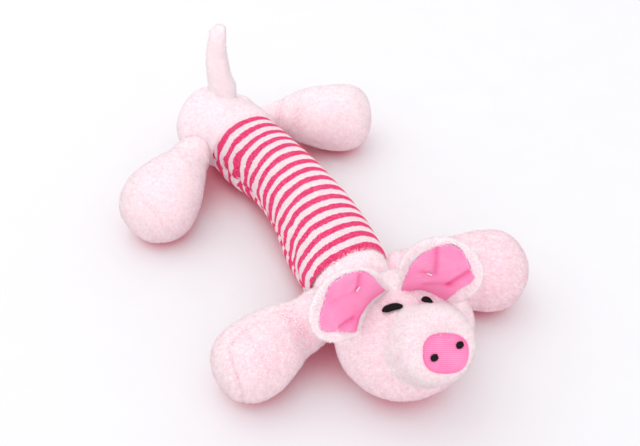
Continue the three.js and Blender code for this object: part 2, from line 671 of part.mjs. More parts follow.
for (const [name, side] of [['left', 1], ['right', -1]]) {
  const middle = onHead(new THREE.Vector3(side * EYE_PLACE[0], EYE_PLACE[1], EYE_PLACE[2]), 0);
  const level = new THREE.Vector3().crossVectors(middle, new THREE.Vector3(0, 0, 1)).normalize();
  const rise = new THREE.Vector3().crossVectors(level, middle).normalize();
  const patch = (out) => (u, v) => {
    const across = 2 * u - 1;
    const half = EYE_WIDTH / 2 * Math.sqrt(1 - (1 - EYE_END_SHARE ** 2) * across ** 2);
    const height = EYE_ARCH * (1 - across ** 2) - EYE_ARCH / 2 + half * (2 * v - 1);
    const spot = middle.clone().addScaledVector(level, -across * EYE_LENGTH / 2).addScaledVector(rise, height);
    return onHead(spot, out);
  };
  const eye = plate(patch(SEAM_GAP + STITCH_THICKNESS), patch(SEAM_GAP), PLATE_COLUMNS, EYE_ROWS);
  head.add(piece(`${name}_eye`, placeFace(eye), blackThread()));
}

// The thread that closes the neck: a thin band round the chest's dome, inside the head's socket

const bandPoint = (radius, angle) => [radius * Math.cos(degToRad(angle)), radius * Math.sin(degToRad(angle))];
const bandAngles = [THREAD_BAND[0], THREAD_BAND[0] + bandStep, THREAD_BAND[1]];
const band = towardsNose(turned([
  ...bandAngles.map((angle) => bandPoint(bandInside + THREAD_THICKNESS, angle)),
  ...bandAngles.toReversed().map((angle) => bandPoint(bandInside, angle)),
  bandPoint(bandInside + THREAD_THICKNESS, bandAngles[0]),
], BODY_SIDES));
const neckThread = piece('neck_thread', band, whiteThread());
neckThread.position.copy(neck);
toy.add(neckThread);

// Ears: a plush back, a knit lining in front of it and one tack stitch through both.
// An ear's own X runs along its base, Y to its tip and Z out of the lining.

const beadRadius = EAR_BACK_THICKNESS / 2;
const beadFoot = -0.9 * beadRadius; // the base bead stops just short of a sharp edge
const earCup = (x) => EAR_CUP * (x / EAR_HALF_WIDTH) ** 2;
function earHalfWidth(y, rim) {
  const share = Math.min(Math.max(y / EAR_LENGTH, 0), 1);
  if (share < EAR_WIDEST_AT) {
    return lerp(EAR_BASE_HALF_WIDTH, EAR_HALF_WIDTH, Math.sin(Math.PI / 2 * share / EAR_WIDEST_AT)) - rim;
  }
  const beyond = (share - EAR_WIDEST_AT) / (1 - EAR_WIDEST_AT);
  return EAR_HALF_WIDTH * Math.sqrt(1 - (1 - EAR_TIP_SHARE ** 2) * beyond ** 2) - rim;
}

function earPlate(skew, from, to, rim, backAt, frontAt) {
  const face = (depth) => (u, v) => {
    const y = lerp(from, to, v);
    const x = (2 * u - 1) * earHalfWidth(y, rim);
    return new THREE.Vector3(x + skew * y, y, earCup(x) + depth(y));
  };
  return plate(face(frontAt), face(backAt), PLATE_COLUMNS, EAR_ROWS);
}

for (const { name, place, axis, lean, skew, tack } of EARS) {
  const direction = new THREE.Vector3(...place);
  const foot = onHead(direction, beadRadius + SEAM_GAP);
  const along = new THREE.Vector3(...axis).normalize();
  const out = direction.normalize().projectOnPlane(along).normalize();
  out.applyAxisAngle(along, -degToRad(lean));
  const facing = new THREE.Vector3().crossVectors(along, out);

  const ear = new THREE.Group();
  ear.name = name;
  ear.applyMatrix4(new THREE.Matrix4().makeBasis(along, out, facing).setPosition(foot).premultiply(facePlace));
  head.add(ear);

  const halfThickness = (y) => (y < 0 ? Math.sqrt(beadRadius ** 2 - y ** 2) : beadRadius);
  const back = earPlate(skew, beadFoot, EAR_LENGTH, 0, (y) => -halfThickness(y), halfThickness);
  ear.add(piece(`${name}_back`, back, plush()));

  const liningBack = beadRadius + SEAM_GAP;
  const liningFront = liningBack + EAR_LINING_THICKNESS;
  const lining = earPlate(
    skew, EAR_RIM / 2, EAR_LENGTH - EAR_RIM, EAR_RIM, () => liningBack, () => liningFront);
  ear.add(piece(`${name}_lining`, lining, pinkKnit()));

  const tackAcross = tack[0] * EAR_HALF_WIDTH;
  const tackUp = tack[1] * EAR_LENGTH;
  const tackSlope = 2 * EAR_CUP * tackAcross / EAR_HALF_WIDTH ** 2;
  const tackLift = liningFront + earCup(TACK_LENGTH / 2) + SEAM_GAP + STITCH_THICKNESS / 2;
  const stitch = new THREE.BoxGeometry(TACK_LENGTH, STITCH_THICKNESS, STITCH_THICKNESS);
  stitch.rotateY(-Math.atan(tackSlope));
  stitch.translate(tackAcross + skew * tackUp, tackUp, earCup(tackAcross) + tackLift);
  ear.add(piece(`${name}_tack`, solid(stitch), whiteThread()));
}

// The origin lies on the table under the middle of the whole toy

toy.updateMatrixWorld(true);
const box = new THREE.Box3().setFromObject(toy, true);
const middle = box.getCenter(new THREE.Vector3());
toy.position.set(-middle.x, -middle.y, -box.min.z);

export default toy;
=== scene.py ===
import json
import math

import bpy
import numpy as np
from mathutils import Matrix, Vector, noise
from mathutils.bvhtree import BVHTree
from mathutils.kdtree import KDTree


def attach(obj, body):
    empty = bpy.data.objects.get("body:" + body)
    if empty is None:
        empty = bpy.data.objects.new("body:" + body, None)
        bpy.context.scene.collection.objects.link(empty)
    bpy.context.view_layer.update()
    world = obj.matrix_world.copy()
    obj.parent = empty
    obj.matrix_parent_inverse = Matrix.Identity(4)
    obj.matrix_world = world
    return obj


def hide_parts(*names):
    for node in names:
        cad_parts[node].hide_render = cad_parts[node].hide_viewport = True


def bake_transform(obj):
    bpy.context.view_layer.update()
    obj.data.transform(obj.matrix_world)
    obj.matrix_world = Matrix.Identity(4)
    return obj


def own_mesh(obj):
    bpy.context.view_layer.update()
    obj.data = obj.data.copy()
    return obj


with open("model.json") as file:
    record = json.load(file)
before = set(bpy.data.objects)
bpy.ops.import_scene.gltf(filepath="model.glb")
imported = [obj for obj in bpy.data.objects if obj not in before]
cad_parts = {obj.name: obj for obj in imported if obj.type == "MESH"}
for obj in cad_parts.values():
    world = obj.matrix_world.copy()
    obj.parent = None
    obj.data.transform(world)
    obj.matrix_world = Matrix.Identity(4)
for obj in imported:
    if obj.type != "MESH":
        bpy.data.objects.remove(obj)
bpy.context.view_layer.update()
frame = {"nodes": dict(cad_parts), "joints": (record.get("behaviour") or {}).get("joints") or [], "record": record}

# Table, light and camera
# The toy lies on a pale table under one large soft lamp, with light from all round.
# Sizes in this file are in millimetres; meshes are made in metres.
MM = 0.001
joints = {joint["name"]: joint for joint in frame["joints"]}
NECK = np.array(joints["head_nod"]["pos_m"]) / MM


class Wire:
    """A shader value: arithmetic on it adds maths nodes to its material."""

    def __init__(self, finish, socket):
        self.finish = finish
        self.socket = socket

    def maths(self, operation, *others):
        values = [self, *others]
        return self.finish.node("ShaderNodeMath", {"operation": operation}, dict(enumerate(values)))

    def __add__(self, other):
        return self.maths("ADD", other)

    def __sub__(self, other):
        return self.maths("SUBTRACT", other)

    def __rsub__(self, other):
        return (self * -1) + other

    def __mul__(self, other):
        return self.maths("MULTIPLY", other)

    def __truediv__(self, other):
        return self.maths("DIVIDE", other)

    __radd__ = __add__
    __rmul__ = __mul__

    def within(self):
        """The value held between 0 and 1."""
        return self.maths("MAXIMUM", 0.0).maths("MINIMUM", 1.0)


class Finish:
    """A material made of a Principled shader, whose constants are set by socket name."""

    def __init__(self, name, **constants):
        self.material = bpy.data.materials.new(name)
        self.material.use_nodes = True
        self.tree = self.material.node_tree
        self.shader = self.tree.nodes["Principled BSDF"]
        for socket, value in constants.items():
            self.shader.inputs[socket.replace("_", " ")].default_value = value

    def node(self, kind, settings=None, inputs=None, output=0):
        made = self.tree.nodes.new(kind)
        for key, value in (settings or {}).items():
            setattr(made, key, value)
        for key, value in (inputs or {}).items():
            if isinstance(value, Wire):
                self.tree.links.new(value.socket, made.inputs[key])
            else:
                made.inputs[key].default_value = value
        return Wire(self, made.outputs[output])

    def to_shader(self, socket, wire):
        self.tree.links.new(wire.socket, self.shader.inputs[socket])

    def place(self):
        """Object coordinates, in metres."""
        return self.node("ShaderNodeTexCoord", output="Object")

    def parts(self, vector):
        """The x, y and z of a vector."""
        split = self.node("ShaderNodeSeparateXYZ", None, {0: vector}).socket.node
        return [Wire(self, socket) for socket in split.outputs]

    def noise(self, where, scale, detail=3.0):
        return self.node("ShaderNodeTexNoise", None, {"Vector": where, "Scale": scale, "Detail": detail})

    def mix(self, factor, first, second):
        settings = {"data_type": "RGBA"}
        return self.node("ShaderNodeMix", settings, {0: factor, 6: first, 7: second}, 2)

    def bump(self, height, depth):
        return self.node("ShaderNodeBump", None, {"Distance": depth, "Height": height, "Strength": 1.0})


def colour(red, green, blue):
    """A colour picked as 0 to 255 in a picture, as a shader takes it."""
    def linear(value):
        share = value / 255
        return share / 12.92 if share <= 0.04045 else ((share + 0.055) / 1.055) ** 2.4
    return (linear(red), linear(green), linear(blue), 1.0)


def in_scene(name, data):
    """A new object, put into the scene."""
    made = bpy.data.objects.new(name, data)
    bpy.context.scene.collection.objects.link(made)
    return made


def mesh_piece(name, points, faces, finish=None):
    """A smooth object from points in millimetres."""
    mesh = bpy.data.meshes.new(name)
    mesh.from_pydata((np.asarray(points, float) * MM).tolist(), [], [list(face) for face in faces])
    mesh.shade_smooth()
    if finish:
        mesh.materials.append(finish.material)
    return in_scene(name, mesh)


TABLE_HALF = 1500.0
CAMERA_DISTANCE = 0.6
table_finish = Finish("table", Roughness=0.9, Specular_IOR_Level=0.2)
table_seen = table_finish.node("ShaderNodeLightPath", output="Is Camera Ray")
for kind in ("Is Glossy Ray", "Is Transmission Ray"):
    table_seen = table_seen.maths("MAXIMUM", table_finish.node("ShaderNodeLightPath", output=kind))
table_grain = table_finish.noise(table_finish.place(), 40.0)
table_grain_and_painted_shadow = table_finish.mix(table_grain, colour(217, 217, 220), colour(220, 220, 222))
# Painted shadow: where the toy hems the table in, the table's colour turns deep pink, standing in for the pink
# shade between them.
table_open = table_finish.node("ShaderNodeAmbientOcclusion", {"samples": 6}, {"Distance": 0.03}, "AO")
table_grain_and_painted_shadow = table_finish.mix(((0.47 - table_open) * 4.0).within(), table_grain_and_painted_shadow, colour(208, 92, 116))
# To bounced light the table is paler and faintly pink, a painted pink fill on the toy's undersides; the camera
# sees it grey.
table_finish.to_shader("Base Color", table_finish.mix(table_seen, colour(250, 238, 242), table_grain_and_painted_shadow))
table_corners = TABLE_HALF * np.array([(-1, -1, 0), (1, -1, 0), (1, 1, 0), (-1, 1, 0)])
table = mesh_piece("table", table_corners, [(0, 1, 2, 3)], table_finish)

world = bpy.data.worlds.new("studio")
world.use_nodes = True
sky = world.node_tree.nodes["Background"]
sky.inputs["Color"].default_value = (1.0, 1.0, 1.0, 1.0)
sky.inputs["Strength"].default_value = 1.26
bpy.context.scene.world = world

lamp = bpy.data.lights.new("soft_lamp", "AREA")
lamp.shape = "DISK"
lamp.size = 1.2
lamp.energy = 3.0
lamp_object = in_scene("soft_lamp", lamp)
lamp_object.location = (-0.28, 0.38, 1.15)
lamp_aim = Vector((0.02, 0.02, 0.0)) - lamp_object.location
lamp_object.rotation_euler = lamp_aim.to_track_quat("-Z", "Y").to_euler()

camera = bpy.data.cameras.new("camera")
camera.lens = 55.0
camera.sensor_width = 36.0
camera.clip_start = 0.01
camera_object = in_scene("camera", camera)
look_at = Vector((NECK + [24.946, 82.689, -26.0]) * MM)
turn, tilt = math.radians(-33.0), math.radians(46.0)
away = Vector((math.sin(turn) * math.cos(tilt), -math.cos(turn) * math.cos(tilt), math.sin(tilt)))
sideways = Vector((math.cos(turn), math.sin(turn), 0.0))
basis = Matrix((sideways, away.cross(sideways), away)).transposed().to_4x4()
camera_object.matrix_world = Matrix.Translation(look_at + CAMERA_DISTANCE * away) @ basis
bpy.context.scene.camera = camera_object
bpy.context.scene.view_settings.view_transform = "Standard"


def dress(piece, finish):
    """Gives a piece one finish in place of any other."""
    piece.data.materials.clear()
    piece.data.materials.append(finish.material)


def plastic(name, shade, roughness):
    finish = Finish(name, Specular_IOR_Level=0.5)
    clouds = finish.noise(finish.place(), 300.0)
    pale = [min(1.0, part * 1.15) for part in shade[:3]] + [1.0]
    finish.to_shader("Base Color", finish.mix(clouds, shade, pale))
    finish.to_shader("Roughness", clouds * 0.15 + roughness)
    return finish


bellows_plastic = plastic("bellows_plastic", colour(222, 226, 220), 0.35)
reed_plastic = plastic("reed_plastic", colour(190, 205, 215), 0.2)
for node in ("reed_holder", "reed_cap", "reed_strip"):
    moulded = frame["nodes"][node]
    dress(moulded, reed_plastic if node == "reed_strip" else bellows_plastic)
bellows = in_scene("bellows_wall", frame["nodes"]["squeaker_bellows"].data.copy())
dress(bellows, bellows_plastic)
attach(bellows, "torso")
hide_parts("squeaker_bellows")
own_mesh(bellows)

# Torso sleeve
# A tube of striped jersey knit, sewn into a ring low on the pig's right side, where it is puckered.
# Its ends are sewn to the chest and to the rump.
UP = np.array([0.0, 0.0, 1.0])
FRONT_SEAM = NECK[:2] + [3.382, 23.514]
SLEEVE_BEND = NECK[:2] + [23.371, 91.561]
REAR_SEAM = NECK[:2] + [10.605, 161.324]
FRONT_RADIUS = 24.4
REAR_RADIUS = 21.5
SLEEVE_LENGTH = 147.0
SLEEVE_OVERLAP = 9.5
SLEEVE_SEAM_ANGLE = math.radians(-10)
SLEEVE_STATIONS = 180
SLEEVE_SIDES = 180
KNIT_WALES = 168.0
KNIT_COURSES = 210.0
STRIPE_COUNT = 16.82
STRIPE_START = 0.19
STRIPE_SHARPNESS = 22.0
FULL_TURN = 6.2832


def lerp(first, second, share):
    return first + (second - first) * share


def smooth(share):
    share = np.clip(share, 0.0, 1.0)
    return share * share * (3 - 2 * share)


def unit(vectors):
    vectors = np.asarray(vectors, float)
    return vectors / np.maximum(np.linalg.norm(vectors, axis=-1, keepdims=True), 1e-9)


def turns(sides):
    """Even angles all the way round."""
    return 2 * math.pi * np.arange(sides) / sides


def swept(centres, alongs, widths, heights, sides, start=0.0):
    """Rings of points about a path: (stations, sides, 3). Side 0 lies at the start angle above level."""
    across = unit(np.cross(UP, alongs))
    rise = np.cross(alongs, across)
    angle = start + turns(sides)
    flat = np.cos(angle)[None, :, None] * across[:, None, :] * np.asarray(widths)[:, None, None]
    tall = np.sin(angle)[None, :, None] * rise[:, None, :] * np.asarray(heights)[:, None, None]
    return centres[:, None, :] + flat + tall


def numbered(rings):
    """The number of each point of some rings, and of the next point round its ring."""
    number = np.arange(rings.shape[0] * rings.shape[1]).reshape(rings.shape[:2])
    return number, np.roll(number, -1, axis=1)


def tube_quads(rings):
    """The faces of an open tube of rings."""
    number, following = numbered(rings)
    return np.stack([number[:-1], following[:-1], following[1:], number[1:]], axis=-1).reshape(-1, 4)


def closed(rings, first, last):
    """Points and faces of a closed skin: rings of points between two end points."""
    number, following = numbered(rings)
    points = np.concatenate([rings.reshape(-1, 3), [first, last]])
    caps = [(number.size, b, a) for a, b in zip(number[0], following[0])]
    caps += [(number.size + 1, a, b) for a, b in zip(number[-1], following[-1])]
    return points, tube_quads(rings).tolist() + caps


def lumps(points, size, seed):
    """Smooth noise from about -1 to 1 at each point, with lumps of a size in millimetres."""
    shift = Vector((17.3 * seed, -9.1 * seed, 4.7 * seed))
    return np.array([noise.noise(Vector(point) / size + shift) for point in points])


share = np.linspace(-SLEEVE_OVERLAP / SLEEVE_LENGTH, 1.0, SLEEVE_STATIONS)
flat = ((1 - share) ** 2)[:, None] * FRONT_SEAM + (2 * share * (1 - share))[:, None] * SLEEVE_BEND
flat = flat + (share ** 2)[:, None] * REAR_SEAM
along = unit((1 - share)[:, None] * (SLEEVE_BEND - FRONT_SEAM) + share[:, None] * (REAR_SEAM - SLEEVE_BEND))
full = lerp(FRONT_RADIUS, REAR_RADIUS, smooth(share))
ends = np.minimum(share - share[0], 1 - share) * SLEEVE_LENGTH
radius = full - 1.2 * (1 - smooth(ends / 5)) - 0.2
centre = np.column_stack([flat, full - 0.5])
along = np.column_stack([along, np.zeros(SLEEVE_STATIONS)])
rings = swept(centre, along, radius, radius, SLEEVE_SIDES, SLEEVE_SEAM_ANGLE)
outward = unit(rings - centre[:, None, :])
turn = np.arange(SLEEVE_SIDES) / SLEEVE_SIDES
from_seam = np.minimum(turn, 1 - turn)[None, :] * 2 * math.pi * radius[:, None]
side_of_seam = np.where(turn < 0.5, 1.0, -1.0)[None, :]
travel = share[:, None] * SLEEVE_LENGTH
dent = np.exp(-(from_seam / 1.5) ** 2)
# puckers along the seam: how far from the front, and how deep
puckers = [(9, 0.7), (21, 1.0), (30, 0.5), (44, 1.1), (57, 0.8), (69, 1.2), (83, 0.8), (97, 1.6), (108, 2.2),
           (119, 1.2), (131, 0.9), (140, 0.6)]
for place, depth in puckers:
    slant = place + 0.25 * from_seam * side_of_seam
    dent = dent + depth * np.exp(-((travel - slant) / 2.6) ** 2) * np.exp(-from_seam / 13)
dent = dent + 0.5 * lumps(rings.reshape(-1, 3), 22.0, 2).reshape(dent.shape) * smooth(ends / 12)[:, None]
angle = SLEEVE_SEAM_ANGLE + 2 * math.pi * turn
angle = np.where(angle > math.pi, angle - 2 * math.pi, angle)
low_side = np.exp(-((angle - math.radians(-38)) / math.radians(34)) ** 2)[None, :]
sag = 4.6 * np.exp(-((share - 0.2) / 0.17) ** 2) + 4.2 * np.exp(-((share - 0.82) / 0.13) ** 2)
far_side = np.exp(-((np.abs(angle) - math.radians(165)) / math.radians(40)) ** 2)[None, :]
pinch = 1.6 * np.exp(-((share - 0.55) / 0.2) ** 2)[:, None] * far_side
rings = rings + outward * ((sag * smooth(ends / 10))[:, None] * low_side - dent - pinch)[..., None]
rings[..., 2] = np.maximum(rings[..., 2], 0.15)


def front_reach(angle):
    """How far the sleeve reaches over the chest, by the angle round it from the pig's right side."""
    return lerp(SLEEVE_OVERLAP, 2.3, smooth((np.abs(angle) - math.radians(60)) / math.radians(90)))


def rear_reach(angle):
    """How far the rump's plush reaches over the sleeve, by the same angle."""
    return 8.9 + 5.9 * np.cos(angle - math.radians(135))


slip = np.outer(1 - smooth((share - share[0]) / 0.35), SLEEVE_OVERLAP - front_reach(angle))
slip = slip + np.outer(smooth((share - 0.62) / 0.38), rear_reach(math.radians(65)) - rear_reach(angle))
rings = rings + slip[..., None] * along[:, None, :]

knit_finish = Finish("striped_knit", Roughness=0.9, Specular_IOR_Level=0.1)
knit_uv = knit_finish.node("ShaderNodeUVMap", {"uv_map": "OFBake"})
knit_round, knit_travel, _ = knit_finish.parts(knit_uv)
wale = (knit_round * KNIT_WALES).maths("FRACT") - 0.5
wale = wale.maths("ABSOLUTE") * 2.0
course = knit_travel * KNIT_COURSES + wale * 0.55
wander = knit_finish.noise(knit_finish.place(), 60.0, 2.0) - 0.5
ragged = knit_finish.noise(knit_finish.place(), 900.0, 2.0) - 0.5
near_seam = (knit_round * -11.0).maths("EXPONENT")
far_seam = ((1.0 - knit_round) * -11.0).maths("EXPONENT")
seam_slip = knit_finish.noise(knit_finish.place(), 90.0, 1.0) - 0.5
stripe_travel = knit_travel + wander * 0.016 + ragged * 0.014 + wale * 0.0025
stripe_travel = stripe_travel + near_seam * (seam_slip * 0.12 + 0.03) - far_seam * (seam_slip * 0.08 + 0.022)
stripe = (stripe_travel * STRIPE_COUNT + STRIPE_START).maths("FRACT")
stripe = 0.5 - ((stripe - 0.5).maths("ABSOLUTE") - 0.25) * STRIPE_SHARPNESS
stripe = stripe.within()
fuzz = knit_finish.noise(knit_finish.place(), 1100.0, 4.0)
fuzz = (fuzz * 3.0 - 1.0).within()
pale = knit_finish.mix(fuzz, colour(255, 220, 232), colour(255, 250, 252))
rose = knit_finish.mix(fuzz, colour(236, 34, 96), colour(255, 100, 152))
knit_finish.to_shader("Base Color", knit_finish.mix(stripe, pale, rose))
loops = (course * FULL_TURN).maths("SINE") * 0.35 + (1.0 - wale.maths("POWER", 2.0)) * 0.5 + fuzz * 0.7
knit_finish.to_shader("Normal", knit_finish.bump(loops, 0.0004))

sleeve = mesh_piece("sleeve_knit", rings.reshape(-1, 3), tube_quads(rings), knit_finish)
sleeve_uv = sleeve.data.uv_layers.new(name="OFBake")
u = np.stack([turn, turn + 1 / SLEEVE_SIDES, turn + 1 / SLEEVE_SIDES, turn], axis=-1)
length_share = np.linspace(0, 1, SLEEVE_STATIONS)
v = np.stack([length_share[:-1], length_share[:-1], length_share[1:], length_share[1:]], axis=-1)
corners = np.stack(np.broadcast_arrays(u[None, :, :], v[:, None, :]), axis=-1)
sleeve_uv.data.foreach_set("uv", corners.reshape(-1))
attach(sleeve, "torso")
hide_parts("torso_sleeve")

# Chest
# The plush cover between the sleeve and the head, padded, with a domed neck that sits in the head's hollow.
# It is sewn to the sleeve behind, and the front legs' round tops are sewn into its sides.
CHEST_TURN = NECK[:2] + [0.0, 12.0]
CHEST_LENGTH = 24.0
CHEST_SIDES = 120
DOME_RINGS = 16
NECK_RADIUS = 17.0
HEAD_CENTRE = NECK + [1.0, -33.0, 8.0]
FRONT_LEGS = ("front_left_leg", "front_right_leg")
REAR_LEGS = ("rear_left_leg", "rear_right_leg")
LEG_TOPS = {"front_left_leg": 13.0, "front_right_leg": 13.0, "rear_left_leg": 6.0, "rear_right_leg": 11.0}
TAIL_BALL = 7.4
PILE_LENGTH = 1.5
PILE_WIDTH = 0.26
PILE_LEAN = 0.9
SKIN_INSET = 0.7
SOCKET_LIP = 0.9
# From where to where along the toy the plush is painted paler towards the rear, as painted light.
PAINTED_LIGHT_FROM = NECK[1] - 60.0
PAINTED_LIGHT_TO = REAR_SEAM[1]

skin_finish = Finish(
    "plush_skin", Roughness=0.95, Specular_IOR_Level=0.1, Sheen_Weight=0.4, Sheen_Roughness=0.6)
skin_spot = skin_finish.place()
skin_tufts = skin_finish.noise(skin_spot, 1500.0, 5.0)
skin_patches = skin_finish.noise(skin_spot, 60.0, 3.0)
skin_texture = skin_tufts * 0.7 + skin_patches * 0.3
# Painted light: the skin is paler pink towards the rear, where more light falls, and deeper pink towards the head.
_, skin_travel, _ = skin_finish.parts(skin_spot)
skin_painted_rear_light = ((skin_travel - PAINTED_LIGHT_FROM * MM) / (PAINTED_LIGHT_TO * MM - PAINTED_LIGHT_FROM * MM)).within()
skin_cloth = skin_finish.mix(
    skin_painted_rear_light, skin_finish.mix(skin_texture, colour(238, 190, 205), colour(251, 214, 226)),
    skin_finish.mix(skin_texture, colour(250, 220, 230), colour(255, 234, 240)))
# Painted shade: where the fold attribute is set, in seams, creases, round sewn-in limbs and low down near the
# table, the skin turns deep pink.
skin_painted_shade = skin_finish.node("ShaderNodeAttribute", {"attribute_name": "fold"}, output="Fac")
skin_finish.to_shader("Base Color", skin_finish.mix(skin_painted_shade, skin_cloth, colour(228, 108, 142)))
skin_finish.to_shader("Normal", skin_finish.bump(skin_tufts, 0.0008))
pile_shades = [
    # the tone from which a strand takes the shade
    (-9.0, "pile_pale", colour(255, 241, 245)),
    (0.3, "pile_light", colour(254, 231, 238)),
    (0.68, "pile_pink", colour(251, 218, 228)),
    (1.05, "pile_deep", colour(244, 204, 216)),
]


class Growth:
    """A Geometry Nodes tree under construction, with one method for any node."""

    def __init__(self, name, inputs):
        self.tree = bpy.data.node_groups.new(name, "GeometryNodeTree")
        self.tree.interface.new_socket("Geometry", in_out="INPUT", socket_type="NodeSocketGeometry")
        for label, kind in inputs:
            self.tree.interface.new_socket(label, in_out="INPUT", socket_type=kind)
        self.tree.interface.new_socket("Geometry", in_out="OUTPUT", socket_type="NodeSocketGeometry")
        self.source = self.tree.nodes.new("NodeGroupInput")

    def node(self, kind, settings=None, inputs=None):
        made = self.tree.nodes.new(kind)
        for key, value in (settings or {}).items():
            setattr(made, key, value)
        for key, value in (inputs or {}).items():
            if isinstance(value, bpy.types.NodeSocket):
                self.tree.links.new(value, made.inputs[key])
            else:
                made.inputs[key].default_value = value
        return made

    def given(self, label):
        """An input of the tree."""
        return self.source.outputs[label]

    def maths(self, operation, *values):
        return self.node("ShaderNodeMath", {"operation": operation}, dict(enumerate(values))).outputs[0]

    def vector(self, operation, first, second):
        return self.node("ShaderNodeVectorMath", {"operation": operation}, {0: first, 1: second}).outputs[0]

    def scaled(self, vector, factor):
        made = self.node("ShaderNodeVectorMath", {"operation": "SCALE"}, {0: vector, "Scale": factor})
        return made.outputs[0]

    def chance(self, low, high, seed):
        """A random number from low to high at each point."""
        made = self.node("FunctionNodeRandomValue", {"data_type": "FLOAT"}, {2: low, 3: high, "Seed": seed})
        return made.outputs[1]

    def chance_vector(self, low, high, seed):
        settings = {"data_type": "FLOAT_VECTOR"}
        return self.node("FunctionNodeRandomValue", settings, {0: low, 1: high, "Seed": seed}).outputs[0]

    def stored(self, geometry, name, kind, value):
        """Keeps a value at each point under a name."""
        return self.node("GeometryNodeStoreNamedAttribute", {"data_type": kind, "domain": "POINT"}, {
            "Geometry": geometry, "Name": name, "Value": value}).outputs[0]

    def attribute(self, name, kind):
        return self.node("GeometryNodeInputNamedAttribute", {"data_type": kind}, {"Name": name}).outputs[0]

    def end(self, geometry):
        sink = self.tree.nodes.new("NodeGroupOutput")
        self.tree.links.new(geometry, sink.inputs[0])

    def grown(self, piece, **values):
        """The mesh that the tree makes from a piece."""
        grower = piece.modifiers.new("grower", "NODES")
        grower.node_group = self.tree
        for item in self.tree.interface.items_tree:
            label = item.name.replace(" ", "_")
            if item.in_out == "INPUT" and label in values:
                grower[item.identifier] = values[label]
        piece.data.update()
        graph = bpy.context.evaluated_depsgraph_get()
        mesh = bpy.data.meshes.new_from_object(piece.evaluated_get(graph), depsgraph=graph)
        piece.modifiers.remove(grower)
        return mesh


pile = Growth("pile", [
    ("Density", "NodeSocketFloat"), ("Length", "NodeSocketFloat"), ("Width", "NodeSocketFloat"),
    ("Lean", "NodeSocketFloat"), ("Pale", "NodeSocketFloat"), ("Seed", "NodeSocketInt")])
spot = pile.node("GeometryNodeInputPosition").outputs[0]
tufts = pile.node("GeometryNodeDistributePointsOnFaces", {"distribute_method": "RANDOM"}, {
    "Mesh": pile.given("Geometry"), "Seed": pile.given("Seed"),
    "Density": pile.maths("MULTIPLY", pile.given("Density"), pile.attribute("pile", "FLOAT"))})
drift = pile.node("ShaderNodeTexNoise", None, {"Vector": spot, "Scale": 300.0, "Detail": 1.5})
drift = pile.scaled(pile.vector("SUBTRACT", drift.outputs["Color"], (0.5, 0.5, 0.5)), 3.2)
stray = pile.chance_vector((-0.7, -0.7, -0.7), (0.7, 0.7, 0.7), 3)
lean = pile.vector("ADD", pile.attribute("comb", "FLOAT_VECTOR"), drift)
lean = pile.scaled(lean, pile.given("Lean"))
heading = pile.vector("ADD", pile.vector("ADD", tufts.outputs["Normal"], lean), stray)
upright = pile.node("FunctionNodeAlignRotationToVector", {"axis": "Z"}, {"Vector": heading})
spun = pile.node("FunctionNodeRotateRotation", {"rotation_space": "LOCAL"}, {
    0: upright.outputs[0], 1: pile.chance_vector((0.0, 0.0, 0.0), (0.0, 0.0, 6.283), 5)})
patches = pile.node("ShaderNodeTexNoise", None, {"Vector": spot, "Scale": 520.0, "Detail": 2.0})
tone = pile.maths("MULTIPLY_ADD", patches.outputs[0], 2.0, pile.chance(-0.75, -0.25, 7))
stand = pile.node("ShaderNodeSeparateXYZ", None, {0: spot})
# Painted light: strands turn paler towards the rear, where more light falls, and pinker towards the head.
painted_rear_light = pile.node("ShaderNodeMapRange", None, {
    0: stand.outputs["Y"], 1: PAINTED_LIGHT_FROM * MM, 2: PAINTED_LIGHT_TO * MM, 3: 0.4, 4: -0.4})
tone = pile.maths("ADD", tone, painted_rear_light.outputs[0])
tone = pile.maths("SUBTRACT", tone, pile.given("Pale"))
kept = pile.stored(tufts.outputs["Points"], "nap", "FLOAT_VECTOR", tufts.outputs["Normal"])
kept = pile.stored(kept, "tone", "FLOAT", tone)
blade = pile.node("GeometryNodeMeshCone", {"fill_type": "NONE"}, {
    "Vertices": 3, "Side Segments": 1, "Radius Top": 0.0, "Radius Bottom": pile.given("Width"),
    "Depth": pile.given("Length")})
planted = pile.node("GeometryNodeInstanceOnPoints", None, {
    "Points": kept, "Instance": blade.outputs["Mesh"], "Rotation": spun.outputs[0],
    "Scale": pile.chance(0.7, 1.25, 11)})
coat = pile.node("GeometryNodeRealizeInstances", None, {"Geometry": planted.outputs[0]}).outputs[0]
for low, name, shade in pile_shades:
    strand = Finish(name, Base_Color=shade, Roughness=0.9, Specular_IOR_Level=0.15)
    chosen = pile.node("FunctionNodeCompare", {"data_type": "FLOAT", "operation": "GREATER_THAN"}, {
        0: pile.attribute("tone", "FLOAT"), 1: low})
    coat = pile.node("GeometryNodeSetMaterial", None, {
        "Geometry": coat, "Selection": chosen.outputs[0], "Material": strand.material}).outputs[0]
pile.end(coat)


def coordinates(mesh):
    """Vertex positions in millimetres."""
    flat = np.empty(len(mesh.vertices) * 3)
    mesh.vertices.foreach_get("co", flat)
    return flat.reshape(-1, 3) / MM


def normals_of(mesh):
    flat = np.empty(len(mesh.vertices) * 3, np.float32)
    mesh.vertex_normals.foreach_get("vector", flat)
    return flat.reshape(-1, 3).astype(float)


def move_to(mesh, points):
    mesh.vertices.foreach_set("co", (np.asarray(points) * MM).ravel())
    mesh.update()


def note(mesh, name, kind, values):
    """Keeps a number or a vector at each vertex under a name."""
    flat = np.asarray(values, np.float32).ravel()
    label = "value" if kind == "FLOAT" else "vector"
    mesh.attributes.new(name, kind, "POINT").data.foreach_set(label, flat)


def forget(mesh, *names):
    for name in names:
        mesh.attributes.remove(mesh.attributes[name])


